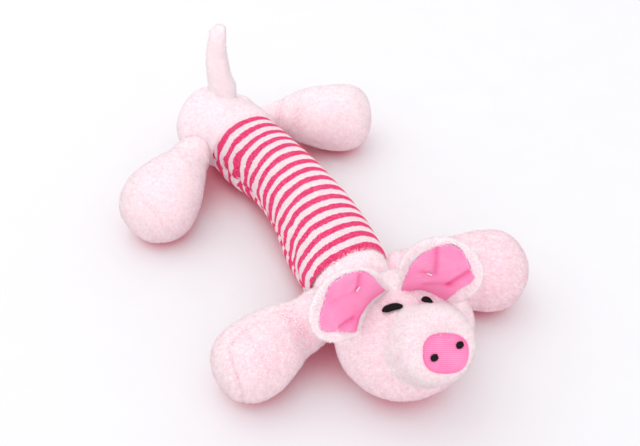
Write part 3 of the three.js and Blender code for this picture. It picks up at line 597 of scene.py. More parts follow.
def grow_pile(skin, name, body, amount, comb, seed, per_mm2=4.0, pale=0.0, bends=None):
    """Plants tufts on a skin where amount is above 0, combed in a direction given at each vertex."""
    note(skin.data, "pile", "FLOAT", amount)
    note(skin.data, "comb", "FLOAT_VECTOR", comb)
    coat = pile.grown(skin, Density=per_mm2 * 1e6, Length=PILE_LENGTH * MM, Width=PILE_WIDTH * MM,
                      Lean=PILE_LEAN, Pale=pale, Seed=seed)
    forget(skin.data, "pile", "comb")
    points = coordinates(coat)
    points[:, 2] = np.maximum(points[:, 2], 0.1)
    nap = np.empty(len(points) * 3, np.float32)
    coat.attributes["nap"].data.foreach_get("vector", nap)
    facing = unit(0.4 * nap.reshape(-1, 3) + normals_of(coat))
    move_to(coat, points)
    forget(coat, "nap", "tone")
    coat.shade_smooth()
    coat.normals_split_custom_set_from_vertices(facing.tolist())
    piece = in_scene(name, coat)
    piece.visible_shadow = False
    piece.visible_diffuse = False
    if bends:
        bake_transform(piece)
    else:
        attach(piece, body)


def note_painted_shade_and_tone(skin, fold):
    """Notes, from 0 to 1 at each vertex, how far the finish deepens a skin's pink: painted shade in seams, creases
    and low down, and on the nose a deeper tone.
    """
    note(skin.data, "fold", "FLOAT", fold)


def painted_low_shade(points):
    """Painted shade for a skin low down near the table: how far it turns deep pink, more the lower it lies."""
    return 0.7 * smooth((20 - points[:, 2]) / 16)


def hollow(points, inward, centre, radius):
    """Pushes points that lie in a ball back along their inward lines, so the ball has a seat."""
    offset = points - centre
    reach = np.einsum("ij,ij->i", inward, offset)
    gap = np.einsum("ij,ij->i", offset, offset) - radius ** 2
    root = np.sqrt(np.maximum(reach ** 2 - gap, 0))
    return points + inward * np.where(gap < 0, -reach + root, 0.0)[:, None]


def clear_of(points, balls):
    """1 for points outside all the balls, 0 inside them."""
    clear = np.ones(len(points))
    for centre, radius in balls:
        clear *= smooth((np.linalg.norm(points - centre, axis=1) - radius) / 0.6)
    return clear


sockets = {}
for leg in FRONT_LEGS + REAR_LEGS:
    sockets[leg] = (np.array(joints[leg + "_flap"]["pos_m"]) / MM, LEG_TOPS[leg])
sockets["tail"] = (np.array(joints["tail_wag"]["pos_m"]) / MM, TAIL_BALL)

s = np.linspace(0.0, CHEST_LENGTH, 32)
share = (s / CHEST_LENGTH)[:, None]
seam_centre = np.array([*FRONT_SEAM, FRONT_RADIUS - 0.5])
turn_centre = np.array([*CHEST_TURN, 24.95])
chest_line = (1 - share) ** 2 * seam_centre + 2 * share * (1 - share) * turn_centre + share ** 2 * NECK
chest_along = unit((1 - share) * (turn_centre - seam_centre) + share * (NECK - turn_centre))
chest_radius = NECK_RADIUS + 6.4 * np.sqrt(1 - np.clip(s / 20, 0, 1) ** 2) - SKIN_INSET
chest_radius = chest_radius - 0.5 * (1 - smooth((s - 6) / 5))
dome = np.radians(np.linspace(6, 84, DOME_RINGS))
dome_line = NECK + np.outer(np.sin(dome) * (NECK_RADIUS - SKIN_INSET), [0, -1, 0])
chest_line = np.concatenate([chest_line, dome_line])
chest_along = np.concatenate([chest_along, np.zeros((DOME_RINGS, 3)) + [0, -1, 0]])
chest_radius = np.concatenate([chest_radius, np.cos(dome) * (NECK_RADIUS - SKIN_INSET)])
rings = swept(chest_line, chest_along, chest_radius, chest_radius, CHEST_SIDES)
tip = NECK + [0, SKIN_INSET - NECK_RADIUS, 0]
points, faces = closed(rings, seam_centre, tip)
inward = unit(np.concatenate([np.repeat(chest_line, CHEST_SIDES, axis=0), [NECK, NECK]]) - points + 1e-6)
points = points + inward * (0.4 * lumps(points, 14.0, 3))[:, None]
for leg in FRONT_LEGS:
    points = hollow(points, inward, sockets[leg][0], sockets[leg][1] - SOCKET_LIP)
points[:, 2] = np.maximum(points[:, 2], 0.2)
chest = mesh_piece("chest_plush", points, faces, skin_finish)
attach(chest, "torso")
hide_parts("chest_cover")
shown = clear_of(points, [(sockets[leg][0], 12.3) for leg in FRONT_LEGS] + [(HEAD_CENTRE, 30.0)])
shown *= points[:, 2] > 0.6
around = turns(CHEST_SIDES)
covered = front_reach(np.arctan2(np.sin(around), -np.cos(around))) - 0.4
bare = np.append(s, np.full(DOME_RINGS, CHEST_LENGTH))[:, None] < covered
shown *= np.append(np.where(bare, 0.0, 1.0).ravel(), [0, 0])
combed = np.concatenate([np.repeat(-chest_along, CHEST_SIDES, axis=0), [[0, 1, 0], [0, 1, 0]]])
# Painted shade: the chest turns deep pink low down near the table.
note_painted_shade_and_tone(chest, painted_low_shade(points))
grow_pile(chest, "chest_pile", "torso", shown, combed, seed=21, pale=0.3)

# Rump
# The padded plush cap at the rear, wider than it is high, sewn to the sleeve in front.
# The rear legs' round tops are sewn into its sides and the tail into its top.
BACKWARD = np.array([*unit(REAR_SEAM - SLEEVE_BEND), 0.0])
RUMP_LIP = 13.5
RUMP_SWELL = 14
RUMP_CAP = 22
RUMP_HALF_WIDTH = 29.5
RUMP_HALF_HEIGHT = 25.0
RUMP_SIDES = 140
swell_s = np.linspace(-RUMP_LIP, RUMP_SWELL, 32)
cap_s = RUMP_SWELL + 21.3 * np.sin(np.radians(np.linspace(3, 84, 34)))
s = np.concatenate([swell_s, cap_s])
rump_line = np.array([*REAR_SEAM, 0.0]) + np.outer(s, BACKWARD)
rump_line[:, 2] = lerp(REAR_RADIUS - 0.5, 24.5, smooth(s / RUMP_SWELL))


def rump_half(most):
    """Half the rump's width or height along it, from its most, with a lip over the sleeve."""
    swell = lerp(REAR_RADIUS - 1.0, most, np.sin(math.pi / 2 * np.clip(s / RUMP_SWELL, 0, 1)))
    cap = most * np.sqrt(1 - np.clip((s - RUMP_SWELL) / (RUMP_CAP - SKIN_INSET), 0, 1) ** 2)
    lip = 2.4 * np.sin(math.pi / 2 * np.clip((s + RUMP_LIP) / 4, 0, 1)) * (1 - smooth((s - 1) / 9)) - 0.4
    return np.where(s <= RUMP_SWELL, swell, cap) + lip


rings = swept(rump_line, np.zeros_like(rump_line) + BACKWARD, rump_half(RUMP_HALF_WIDTH - SKIN_INSET),
              rump_half(RUMP_HALF_HEIGHT - SKIN_INSET), RUMP_SIDES)
lip_slip = (rear_reach(turns(RUMP_SIDES)) + 0.6) / RUMP_LIP - 1
rings = rings + np.outer(np.minimum(s, 0), lip_slip)[..., None] * BACKWARD
end = rump_line[-1] + BACKWARD * (RUMP_SWELL + RUMP_CAP - SKIN_INSET - s[-1])
points, faces = closed(rings, rump_line[0], end)
inward = unit(rump_line[len(swell_s)] - points)
shoulder = np.arccos(np.clip(-inward @ unit([0.76, 0.22, 0.61]), -1, 1))
slack = 8.5 * np.exp(-(shoulder / 0.61) ** 2) * smooth(((points - rump_line[0]) @ BACKWARD - 11) / 9)
points = points + inward * (0.7 * lumps(points, 18.0, 4) + slack)[:, None]
for limb in REAR_LEGS + ("tail",):
    points = hollow(points, inward, sockets[limb][0], sockets[limb][1] - SOCKET_LIP)
points[:, 2] = np.maximum(points[:, 2], 0.2)
rump = mesh_piece("rump_plush", points, faces, skin_finish)
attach(rump, "torso")
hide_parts("rump_cover")
shown = clear_of(points, [(sockets[limb][0], sockets[limb][1] - 0.7) for limb in REAR_LEGS + ("tail",)])
shown *= points[:, 2] > 0.6
shown[-2] = 0
combed = unit(points - rump_line[0]) - [0, 0, 0.6]
# Painted shade: the rump turns deep pink round the sewn-in legs and low down near the table.
painted_socket_shade = 1 - clear_of(points, [sockets[leg] for leg in REAR_LEGS])
note_painted_shade_and_tone(rump, np.maximum(painted_socket_shade, painted_low_shade(points)))
grow_pile(rump, "rump_pile", "torso", shown, combed, seed=22, pale=-0.2)

# Legs
# Each of the four is a padded club of two plush panels, whose seam runs along both sides and over the toe.
# Its round top is sewn into the chest's or the rump's side. Stuffing, creases and seams differ a little.
LEG_LENGTH = 69.0
LEG_FOOT = 22.4
LEG_LIFT = 21.9
TOE_START = 50
TOE_LENGTH = 19
CLOTH_SCALE = 10
CLOTH_STEPS = 20
legs = (
    # name; how far the seam is turned about the leg; how far the under panel is pulled over the toe
    # how much of the seam shows on the foot, and before it; where the foot starts
    # how full the toe's corners are; how far the inner side sinks
    # how much smaller it is before it is blown up; whether the top is drawn to a point
    # how pale its pile is; the seed of its lumps
    ("front_left", 20, 3.0, 0.8, 0.6, 38, 2.1, 0.0, 0.3, False, 0.0, 31),
    ("front_right", -72, 12.5, 0.9, 0.2, 38, 2.5, 4.4, 0.3, False, 0.2, 32),
    ("rear_left", 20, 4.0, 0.7, 0.6, 38, 2.4, 0.0, 1.5, True, -0.1, 33),
    ("rear_right", -76, 12.0, 0.3, 0.1, 56, 2.1, 0.0, 0.1, False, -0.15, 34),
)
leg_creases = {
    # how far along the leg; how wide; how deep; which side of the leg is creased
    "front_right": [(25, 5.5, 1.6, (0, 0.6, 0.8)), (52, 3.0, 0.5, (0, 0.2, 1.0))],
    "rear_left": [(9, 3.4, 1.1, (0, -0.5, 0.85)), (21, 3.6, 1.0, (0, -0.5, 0.85))],
    "front_left": [(30, 3.0, 0.6, (0, -0.8, 0.4)), (41, 2.6, 0.5, (0, -0.8, 0.3))],
}
toe_s = TOE_START + (TOE_LENGTH - SKIN_INSET) * np.sin(np.radians(np.linspace(2, 86, 30)))
leg_s = np.concatenate([np.linspace(2.5, 49, 38), toe_s])
club = lerp(11.4, LEG_FOOT, np.sin(math.pi / 2 * np.clip((leg_s - 7.5) / 42.5, 0, 1)))


def applied(piece):
    """The piece's mesh with its modifiers worked in."""
    graph = bpy.context.evaluated_depsgraph_get()
    mesh = bpy.data.meshes.new_from_object(piece.evaluated_get(graph), depsgraph=graph)
    piece.modifiers.clear()
    spent = piece.data
    piece.data = mesh
    bpy.data.meshes.remove(spent)
    return mesh


def even_mesh(piece, voxel):
    """The piece's mesh after its faces are made even, in cells of a size in millimetres."""
    remesh = piece.modifiers.new("even", "REMESH")
    remesh.mode = "VOXEL"
    remesh.voxel_size = voxel * MM
    return applied(piece)


def finder(points):
    """A tree that finds the nearest of some points."""
    tree = KDTree(len(points))
    for index, point in enumerate(points):
        tree.insert(point, index)
    tree.balance()
    return tree


def stuffed(points, faces, held, most):
    """The points of a closed skin after it is blown up as cloth, each moved by no more than most.

    held tells, from 0 to 1 at each point, how firmly a seam holds the cloth there. The cloth is worked
    out at ten times its size, because cloth as light as this hardly moves in so few steps.
    """
    blank = mesh_piece("blank", points * CLOTH_SCALE, faces, skin_finish)
    start = coordinates(even_mesh(blank, 40.0)) / CLOTH_SCALE
    fine = finder(points)
    sewn = blank.vertex_groups.new(name="sewn")
    for index, point in enumerate(start):
        sewn.add([index], float(held[fine.find(point)[1]]), "REPLACE")
    cloth = blank.modifiers.new("stuffing", "CLOTH")
    cloth.settings.vertex_group_mass = "sewn"
    cloth.settings.use_pressure = True
    cloth.settings.uniform_pressure_force = 60.0
    cloth.settings.mass = 0.05
    cloth.settings.tension_stiffness = 5.0
    cloth.settings.compression_stiffness = 5.0
    cloth.settings.effector_weights.gravity = 0.0
    cloth.point_cache.frame_end = CLOTH_STEPS
    for step in range(1, CLOTH_STEPS + 1):
        bpy.context.scene.frame_set(step)
    move = coordinates(applied(blank)) / CLOTH_SCALE - start
    bpy.context.scene.frame_set(1)
    bpy.data.meshes.remove(blank.data)
    coarse = finder(start)
    moved = np.empty_like(points)
    for index, point in enumerate(points):
        found = coarse.find_n(point, 8)
        share = np.array([1 / (distance + 1.0) ** 2 for _, _, distance in found])
        moved[index] = share @ move[[number for _, number, _ in found]] / share.sum()
    size = np.linalg.norm(moved, axis=1, keepdims=True)
    return points + moved * most * np.tanh(size / most) / np.maximum(size, 1e-9)


leg_covers = {}
sewn_bends = {}
for name, roll, pulled, mark, upper, foot, square, slack, smaller, gather, pale, seed in legs:
    body = name + "_leg"
    root, top = sockets[body]
    top = top - SKIN_INSET
    axis = np.array(joints[body + "_flap"]["axis"])
    heading = np.cross(UP, axis)
    turned = np.column_stack([heading, np.cross(UP, heading), UP])
    ball = np.radians(np.linspace(-80, 6, 18))
    beyond = np.clip((leg_s - TOE_START) / (TOE_LENGTH - SKIN_INSET), 0, 1)
    toe = LEG_FOOT * (1 - beyond ** square) ** (1 / square)
    full = np.where(leg_s < TOE_START, club, toe) - SKIN_INSET
    if gather:
        root_radius = (full ** -6 + (top + 0.62 * leg_s) ** -6) ** (-1 / 6)
    else:
        root_radius = (full ** 8 + top ** 8) ** (1 / 8)
    line = np.concatenate([top * np.sin(ball), leg_s])
    radius = np.concatenate([top * np.cos(ball), lerp(root_radius, full, smooth((leg_s - 24) / 10))])
    centres = np.outer(line, [1.0, 0, 0])
    rings = swept(centres, np.zeros_like(centres) + [1.0, 0, 0], radius, radius, 108)
    points, faces = closed(rings, [-top, 0, 0], [LEG_LENGTH - SKIN_INSET, 0, 0])
    roll = math.radians(roll)
    over = points @ [0, -math.sin(roll), math.cos(roll)]
    beside = points @ [0, math.cos(roll), math.sin(roll)]
    pull = pulled * np.maximum(0, 1 - (beside / 19) ** 2) * smooth((points[:, 0] - 46) / 14)
    seam = np.abs(over - pull)
    outside = unit(points - np.column_stack([np.clip(points[:, 0], 0, 48), 0 * seam, 0 * seam]))
    gathers = lumps(np.column_stack([points[:, 0] / 3.2, beside / 3.2, 0 * beside]), 1.0, seed)
    shows = mark * lerp(upper, 1.0, smooth((points[:, 0] - foot) / 10)) * smooth((points[:, 0] - 8) / 8)
    dent = 1.4 * np.exp(-(seam / 1.3) ** 2) + (0.5 + 0.7 * gathers) * np.exp(-(seam / 5.0) ** 2)
    creased = np.zeros(len(points))
    for place, width, depth, side in leg_creases.get(name, []):
        crease = depth * np.exp(-((points[:, 0] - place) / width) ** 2)
        creased += crease * smooth((outside @ unit(side) - 0.1) / 0.6)
    dent = dent * shows + 0.8 * lumps(points, 16.0, seed) + creased
    points = points - outside * dent[:, None]
    inner = smooth(points[:, 1] / 14) * smooth((points[:, 0] - 12) / 14)
    points[:, 1] -= slack * inner
    held = np.maximum(np.exp(-(seam / 2.5) ** 2) * shows, 1 - smooth((points[:, 0] - 14) / 12))
    points = points - smaller * outside * smooth((points[:, :1] - 20) / 16)
    points = stuffed(points, faces, held, 1.4)
    points[:, 2] = np.maximum(points[:, 2], 0.25 - LEG_LIFT)
    skin = mesh_piece(name + "_leg_plush", points @ turned.T + root, faces, skin_finish)
    leg_covers[body + "_filling"] = skin
    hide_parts(body + "_top_panel", body + "_under_panel")
    shown = smooth((points[:, 0] + 8.0) / 2.0) * (points[:, 2] > 0.7 - LEG_LIFT)
    # The pile thins along the seam and in the creases, to show the skin's painted shade there.
    shown = shown * (1 - 0.85 * np.exp(-(seam / 0.8) ** 2) * shows) * (1 - 0.15 * np.minimum(creased, 1))
    # Painted shade: deep pink along the seam, in the creases and low down near the table.
    painted_leg_shade = np.maximum(np.exp(-(seam / 1.0) ** 2) * shows, 0.7 * smooth((-2 - points[:, 2]) / 16))
    note_painted_shade_and_tone(skin, np.maximum(painted_leg_shade, 0.35 * creased))
    combed = np.zeros_like(points) + heading - [0, 0, 0.25]
    bends = (Vector((root - 2.0 * heading) * MM), Vector((root + 18.0 * heading) * MM))
    sewn_bends[body + "_filling"] = bends
    grow_pile(skin, name + "_leg_pile", body, shown, combed, seed, per_mm2=4.5, pale=pale, bends=bends)
    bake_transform(skin)

# Tail
# A small padded plush tube that stands on the rump; its open top was folded over and sewn shut at a slant.
# Its round foot is sewn into the rump.
TAIL_LENGTH = 42.0
TAIL_FOOT = 8.0
TAIL_TIP = 4.8
TAIL_ROUNDING = 2.6
tube_z = np.linspace(-9.0, TAIL_LENGTH - TAIL_ROUNDING, 52)
tip_angle = np.radians(np.linspace(6, 80, 10))
tail_z = np.concatenate([tube_z, TAIL_LENGTH - TAIL_ROUNDING + TAIL_ROUNDING * np.sin(tip_angle)])
flare = np.exp(-np.clip(tube_z + 1, 0, None) / 8)
tube_radius = lerp(TAIL_FOOT, TAIL_TIP, np.clip(tube_z / (TAIL_LENGTH - 4), 0, 1)) - 0.5 + 0.2 * flare
tail_radius = np.concatenate([tube_radius, (TAIL_TIP - 0.5) * np.cos(tip_angle)])
share = np.clip(tail_z, 0, None) / TAIL_LENGTH
lean = np.exp(-np.clip(tail_z, 0, None) / 7)
tail_x = 2 * share ** 2 - 1.5 * np.sin(math.pi * share) + 0.7 * lean
tail_line = np.column_stack([tail_x, share ** 2 - 0.4 * lean, tail_z])
angle = turns(64)
circle = np.column_stack([np.cos(angle), np.sin(angle), 0 * angle])
rings = tail_line[:, None, :] + circle[None, :, :] * tail_radius[:, None, None]
points, faces = closed(rings, tail_line[0], tail_line[-1] + [0, 0, 0.1])
outside = unit(points - np.column_stack([np.interp(points[:, 2], tail_z, tail_line[:, 0]),
                                         np.interp(points[:, 2], tail_z, tail_line[:, 1]),
                                         np.clip(points[:, 2], 0, TAIL_LENGTH - TAIL_TIP)]))
dent = 0.5 * lumps(points, 9.0, 5) + 0.25 * lumps(points, 3.5, 6)
points = points - outside * dent[:, None]
points[:, 2] += 0.3 * (points[:, 0] - 1.5) * smooth((points[:, 2] - 28) / 12)
tail = mesh_piece("tail_plush", points + sockets["tail"][0], faces, skin_finish)
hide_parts("tail_cover")
shown = smooth((points[:, 2] + 8.0) / 1.0)
shown[-2] = 0
combed = np.zeros_like(points) + UP
bends = (Vector(sockets["tail"][0] * MM), Vector((sockets["tail"][0] + [0, 0, 14.0]) * MM))
grow_pile(tail, "tail_pile", "tail", shown, combed, seed=41, per_mm2=6.0, pale=0.3, bends=bends)
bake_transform(tail)
sewn_bends["tail_filling"] = bends

# Head
# A padded plush ball whose chin lies on the table, with a hollow at the back for the neck.
# The neck's dome is sewn into that hollow.
HEAD_SIZE = np.array([35.5, 34.5, 34.5])
HEAD_CROWN = 31.5
FACE = np.array((Matrix.Rotation(math.radians(-9), 3, "Z") @ Matrix.Rotation(math.radians(-40), 3, "X")
                 @ Matrix.Rotation(math.radians(-6), 3, "Y")))


def head_size(directions):
    """The head's half sizes in directions given in the face's frame; the crown is lower than the chin."""
    size = np.broadcast_to(HEAD_SIZE, directions.shape).copy()
    size[..., 2] = np.where(directions[..., 2] > 0, HEAD_CROWN, HEAD_SIZE[2])
    return size


def on_head(directions, out=0.0):
    """Points of the head's surface in directions given in the face's frame, at a distance outside it."""
    directions = np.asarray(directions, float)
    reach = np.linalg.norm(directions / (head_size(directions) + out), axis=-1, keepdims=True)
    return directions / reach


def from_face(points):
    return np.asarray(points, float) @ FACE.T + HEAD_CENTRE


polar = np.radians(np.linspace(2, 178, 110))
angle = turns(150)
directions = np.stack([np.sin(polar)[:, None] * np.cos(angle), -np.cos(polar)[:, None] + 0 * angle,
                       np.sin(polar)[:, None] * np.sin(angle)], axis=-1)
rings = on_head(directions[:, ::-1], -SKIN_INSET)
points, faces = closed(rings, [0, SKIN_INSET - HEAD_SIZE[1], 0], [0, HEAD_SIZE[1] - SKIN_INSET, 0])
face_points = points
inward = unit(-points @ FACE.T)
points = from_face(points)
points = points + inward * (0.6 * lumps(points, 20.0, 7) + 0.25 * lumps(points, 7.0, 8))[:, None]
points = hollow(points, inward, NECK, NECK_RADIUS + SOCKET_LIP)
points[:, 2] = np.maximum(points[:, 2], 0.25)
head = mesh_piece("head_plush", points, faces, skin_finish)
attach(head, "head")
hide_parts("head_cover")
shown = clear_of(points, [(NECK, NECK_RADIUS + 1.1)]) * (points[:, 2] > 0.7)
shown *= smooth((np.hypot(face_points[:, 0], face_points[:, 2]) - 17.5) / 1.5) + (face_points[:, 1] > 0)
combed = unit(face_points * [1, 0, 1] + [0, 20, 0]) @ FACE.T
# Painted shade: the head turns deep pink low down near the table.
note_painted_shade_and_tone(head, painted_low_shade(points))
grow_pile(head, "head_pile", "head", np.clip(shown, 0, 1), combed, seed=51, pale=0.2)

# Fillings
# Loose wads of polyester fibre in the body, the legs, the tail and the head; the body's wad has a pocket.
# They are packed into the finished covers and show nowhere.
fibre_finish = Finish("fibre_filling", Roughness=0.95, Specular_IOR_Level=0.1)
fibre_strands = fibre_finish.noise(fibre_finish.place(), 900.0, 8.0)
fibre_finish.to_shader("Base Color", fibre_finish.mix(
    fibre_strands, colour(226, 226, 222), colour(250, 250, 247)))
fibre_finish.to_shader("Normal", fibre_finish.bump(fibre_strands, 0.0006))


def packed(points, cover, depth):
    """Moves points that lie outside a cover, or too close under it, to a depth inside it."""
    tree = BVHTree.FromPolygons([vertex.co for vertex in cover.data.vertices],
                                [tuple(face.vertices) for face in cover.data.polygons])
    moved = points.copy()
    for index, point in enumerate(points):
        spot, facing, _, _ = tree.find_nearest(Vector(point * MM))
        if (Vector(point * MM) - spot).dot(facing) > -depth * MM:
            moved[index] = np.array(spot - facing * depth * MM) / MM
    return moved


covers = {"head_filling": head, "tail_filling": tail, **leg_covers}
carriers = {node: body for body, nodes in frame["record"]["behaviour"]["bodies"].items() for node in nodes}
for node in sorted(name for name in frame["nodes"] if name.endswith("_filling")):
    wad = in_scene(node.replace("filling", "wad"), frame["nodes"][node].data.copy())
    mesh = even_mesh(wad, 2.0)
    points = coordinates(mesh)
    points = points - normals_of(mesh) * (0.5 + 0.4 * lumps(points, 6.0, 1))[:, None]
    if node in covers:
        points = packed(points, covers[node], 2.0)
    else:
        behind = (points - [*REAR_SEAM, 0.0]) @ BACKWARD > 3.0
        points[behind] = packed(points[behind], rump, 1.0)
    move_to(mesh, points)
    mesh.shade_smooth()
    dress(wad, fibre_finish)
    if node in sewn_bends:
        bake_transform(wad)
    else:
        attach(wad, carriers[node])
    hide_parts(node)

# Muzzle
# A short padded plush tube with a rounded front edge, sewn round its back to the face.
# The nose is let into its front.
MUZZLE_BACK = 20
MUZZLE_FILLET = 7.0
NOSE_CENTRE = np.array([0.3, -3.0])
NOSE_TURN = np.array([[0.904, -0.428], [0.366, 0.93]])
NOSE_HALF = np.array([11.8, 9.5])
NOSE_CORNERS = 2.6
# the muzzle's outline from its back to its middle: how far out, and how far in front of the head's centre
profile = np.array([
    (20.4, MUZZLE_BACK), (20.2, 25), (20.0, 28), (19.8, 31), (19.5, 34), (19.0, 37), (18.4, 39.6),
    (17.6, 42.2), (16.3, 44.3), (14.6, 45.7), (12.6, 46.4), (10.5, 46.2), (8.0, 45.4), (4.0, 45.0)])
steps = np.linspace(0, len(profile) - 1, 46)
profile = np.column_stack([np.interp(steps, np.arange(len(profile)), line) for line in profile.T])


def from_corners(across, rise):
    """How far out a place lies between the nose's centre, 0, and its rounded square edge, 1."""
    return (np.abs(across) ** NOSE_CORNERS + np.abs(rise) ** NOSE_CORNERS) ** (1 / NOSE_CORNERS)


angle = turns(110)
flare = 1 - 0.95 * smooth((np.sin(angle) + 0.4 * np.maximum(np.cos(angle), 0) - 0.2) / 0.5)
fillet = MUZZLE_FILLET * np.exp(-np.clip(profile[:, 1:] - MUZZLE_BACK, 0, None) / 5.2)
reach = profile[:, :1] + fillet * flare
rings = np.stack([reach * np.cos(angle), -profile[:, 1:] + 0 * angle, reach * np.sin(angle)], axis=-1)
points, faces = closed(rings, [0, -MUZZLE_BACK, 0], [0, -45, 0])
outside = unit(points + [0, 30, 0])
beside_eye = np.linalg.norm(points - [7.0, -29.2, 18.8], axis=1)
points = points - outside * (0.35 * lumps(points, 9.0, 9) + 3.2 * np.exp(-(beside_eye / 6) ** 2))[:, None]
muzzle = mesh_piece("muzzle_plush", from_face(points), faces, skin_finish)
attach(muzzle, "head")
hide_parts("muzzle_cover")
on_nose = (points[:, [0, 2]] - NOSE_CENTRE) @ np.linalg.inv(NOSE_TURN) / NOSE_HALF
shown = smooth((from_corners(*on_nose.T) - 1.0) / 0.1)
shown *= smooth((np.linalg.norm(points / HEAD_SIZE, axis=1) - 0.97) / 0.03) * smooth((beside_eye - 3) / 2)
combed = unit(points * [1, 0, 1] - [0, 14, 0]) @ FACE.T
grow_pile(muzzle, "muzzle_pile", "head", shown, combed, seed=52, per_mm2=6.0, pale=0.58)

# Nose
# An oval of pink knit, lightly padded, let into the muzzle's front.
# Its fine courses run level.
course_finish = Finish("pink_knit", Roughness=0.85, Specular_IOR_Level=0.2, Sheen_Weight=0.2)
course_uv = course_finish.node("ShaderNodeUVMap", {"uv_map": "OFBake"})
across, rise, _ = course_finish.parts(course_uv)
wale = ((across * 70.0).maths("FRACT") - 0.5).maths("ABSOLUTE") * 2.0
row = (rise * 52.0 + wale * 0.3) * FULL_TURN
row = row.maths("SINE") * 0.5 + 0.5
wool = course_finish.noise(course_finish.place(), 2200.0, 4.0)
# The knit turns deep pink where the fold attribute is set: painted shade in the ear linings' creases and along
# their foot, and on the nose a deeper tone.
knit_painted_shade_and_tone = course_finish.node("ShaderNodeAttribute", {"attribute_name": "fold"}, output="Fac")
course_cloud = course_finish.noise(course_finish.place(), 120.0, 2.0)
course_cloth = course_finish.mix(
    row * 0.5 + wool * 0.5 + course_cloud * 0.6 - 0.3, colour(247, 110, 172), colour(255, 175, 216))
course_finish.to_shader("Base Color", course_finish.mix(knit_painted_shade_and_tone, course_cloth, colour(236, 70, 140)))
course_finish.to_shader("Normal", course_finish.bump(row + wool * 0.6, 0.0002))


def patch(name, grid, finish, thickness_line, across, rise):
    """A thin closed patch: a front grid of points (rows, columns, 3) and a back behind it.

    Its courses are laid by the distances across and rise, in millimetres, at each point.
    """
    rows, columns = grid.shape[:2]
    back = grid - thickness_line
    points = np.concatenate([grid.reshape(-1, 3), back.reshape(-1, 3)])
    number = np.arange(rows * columns).reshape(rows, columns)
    quads = np.stack([number[:-1, :-1], number[:-1, 1:], number[1:, 1:], number[1:, :-1]], axis=-1)
    quads = quads.reshape(-1, 4)
    rim = np.concatenate([number[0, :-1], number[:-1, -1], number[-1, :0:-1], number[:0:-1, 0]])
    ahead = np.roll(rim, -1)
    count = rows * columns
    sides = np.stack([ahead, rim, rim + count, ahead + count], axis=-1)
    faces = np.concatenate([quads, quads[:, ::-1] + count, sides])
    piece = mesh_piece(name, points, faces, finish)
    uv = np.column_stack([across.ravel(), rise.ravel()]) / 50 + 0.5
    uv = np.concatenate([uv, uv])
    layer = piece.data.uv_layers.new(name="OFBake")
    layer.data.foreach_set("uv", uv[faces.ravel()].ravel())
    return piece


v, u = np.meshgrid(np.linspace(-1, 1, 61), np.linspace(-1, 1, 61), indexing="ij")
disc_u = u * np.sqrt(1 - v ** 2 / 2)
disc_v = v * np.sqrt(1 - u ** 2 / 2)
edge = np.hypot(disc_u, disc_v)
corner = edge / np.maximum(from_corners(disc_u, disc_v), 1e-9)
corner = np.where(edge > 1e-6, lerp(1.0, corner, edge ** 2), 1.0)
nose_x = corner * disc_u * NOSE_HALF[0]
nose_z = corner * disc_v * NOSE_HALF[1]
nose_across = NOSE_CENTRE[0] + NOSE_TURN[0, 0] * nose_x + NOSE_TURN[1, 0] * nose_z
nose_rise = NOSE_CENTRE[1] + NOSE_TURN[0, 1] * nose_x + NOSE_TURN[1, 1] * nose_z
front = np.interp(np.hypot(nose_across, nose_rise), profile[:26:-1, 0], profile[:26:-1, 1])
puff = np.maximum(front, 45.6 * (edge < 0.8)) + 0.3 + 1.2 * np.sqrt(np.clip(1 - edge ** NOSE_CORNERS, 0, 1))
nose_grid = np.stack([nose_across, -puff, nose_rise], axis=-1)
nose = patch("nose_knit", from_face(nose_grid), course_finish, FACE @ [0, -1.2, 0], nose_x, nose_z)
# The nose is deeper pink all over, and more at its edge.
note_painted_shade_and_tone(nose, np.tile((0.16 + 0.4 * edge ** 8).ravel(), 2))
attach(nose, "head")
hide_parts("nose_disc")

# Nostrils and eyes
# Satin stitch in black thread, which shows as two dots on the nose and two crescents on the face.
# The threads lie side by side, pulled tight through the cloth.
NOSTRIL_THREAD = 0.75
EYE_THREAD = 0.8
thread_finish = Finish("black_thread", Roughness=0.5, Specular_IOR_Level=0.12)
thread_twist = thread_finish.noise(thread_finish.place(), 3000.0, 3.0)
thread_finish.to_shader("Base Color", thread_finish.mix(thread_twist, colour(8, 6, 8), colour(30, 24, 27)))
thread_finish.to_shader("Normal", thread_finish.bump(thread_twist, 0.0002))

stitches = Growth("stitches", [("Thread", "NodeSocketMaterial")])
bead = stitches.node("GeometryNodeMeshUVSphere", None, {"Segments": 8, "Rings": 6, "Radius": 1.0})
sewn = stitches.node("GeometryNodeInstanceOnPoints", None, {
    "Points": stitches.given("Geometry"), "Instance": bead.outputs["Mesh"],
    "Rotation": stitches.attribute("turn", "FLOAT_VECTOR"),
    "Scale": stitches.attribute("size", "FLOAT_VECTOR")})
sewn = stitches.node("GeometryNodeRealizeInstances", None, {"Geometry": sewn.outputs[0]})
sewn = stitches.node("GeometryNodeSetMaterial", None, {
    "Geometry": sewn.outputs[0], "Material": stitches.given("Thread")})
smoothed = stitches.node("GeometryNodeSetShadeSmooth", None, {0: sewn.outputs[0]})
stitches.end(smoothed.outputs[0])


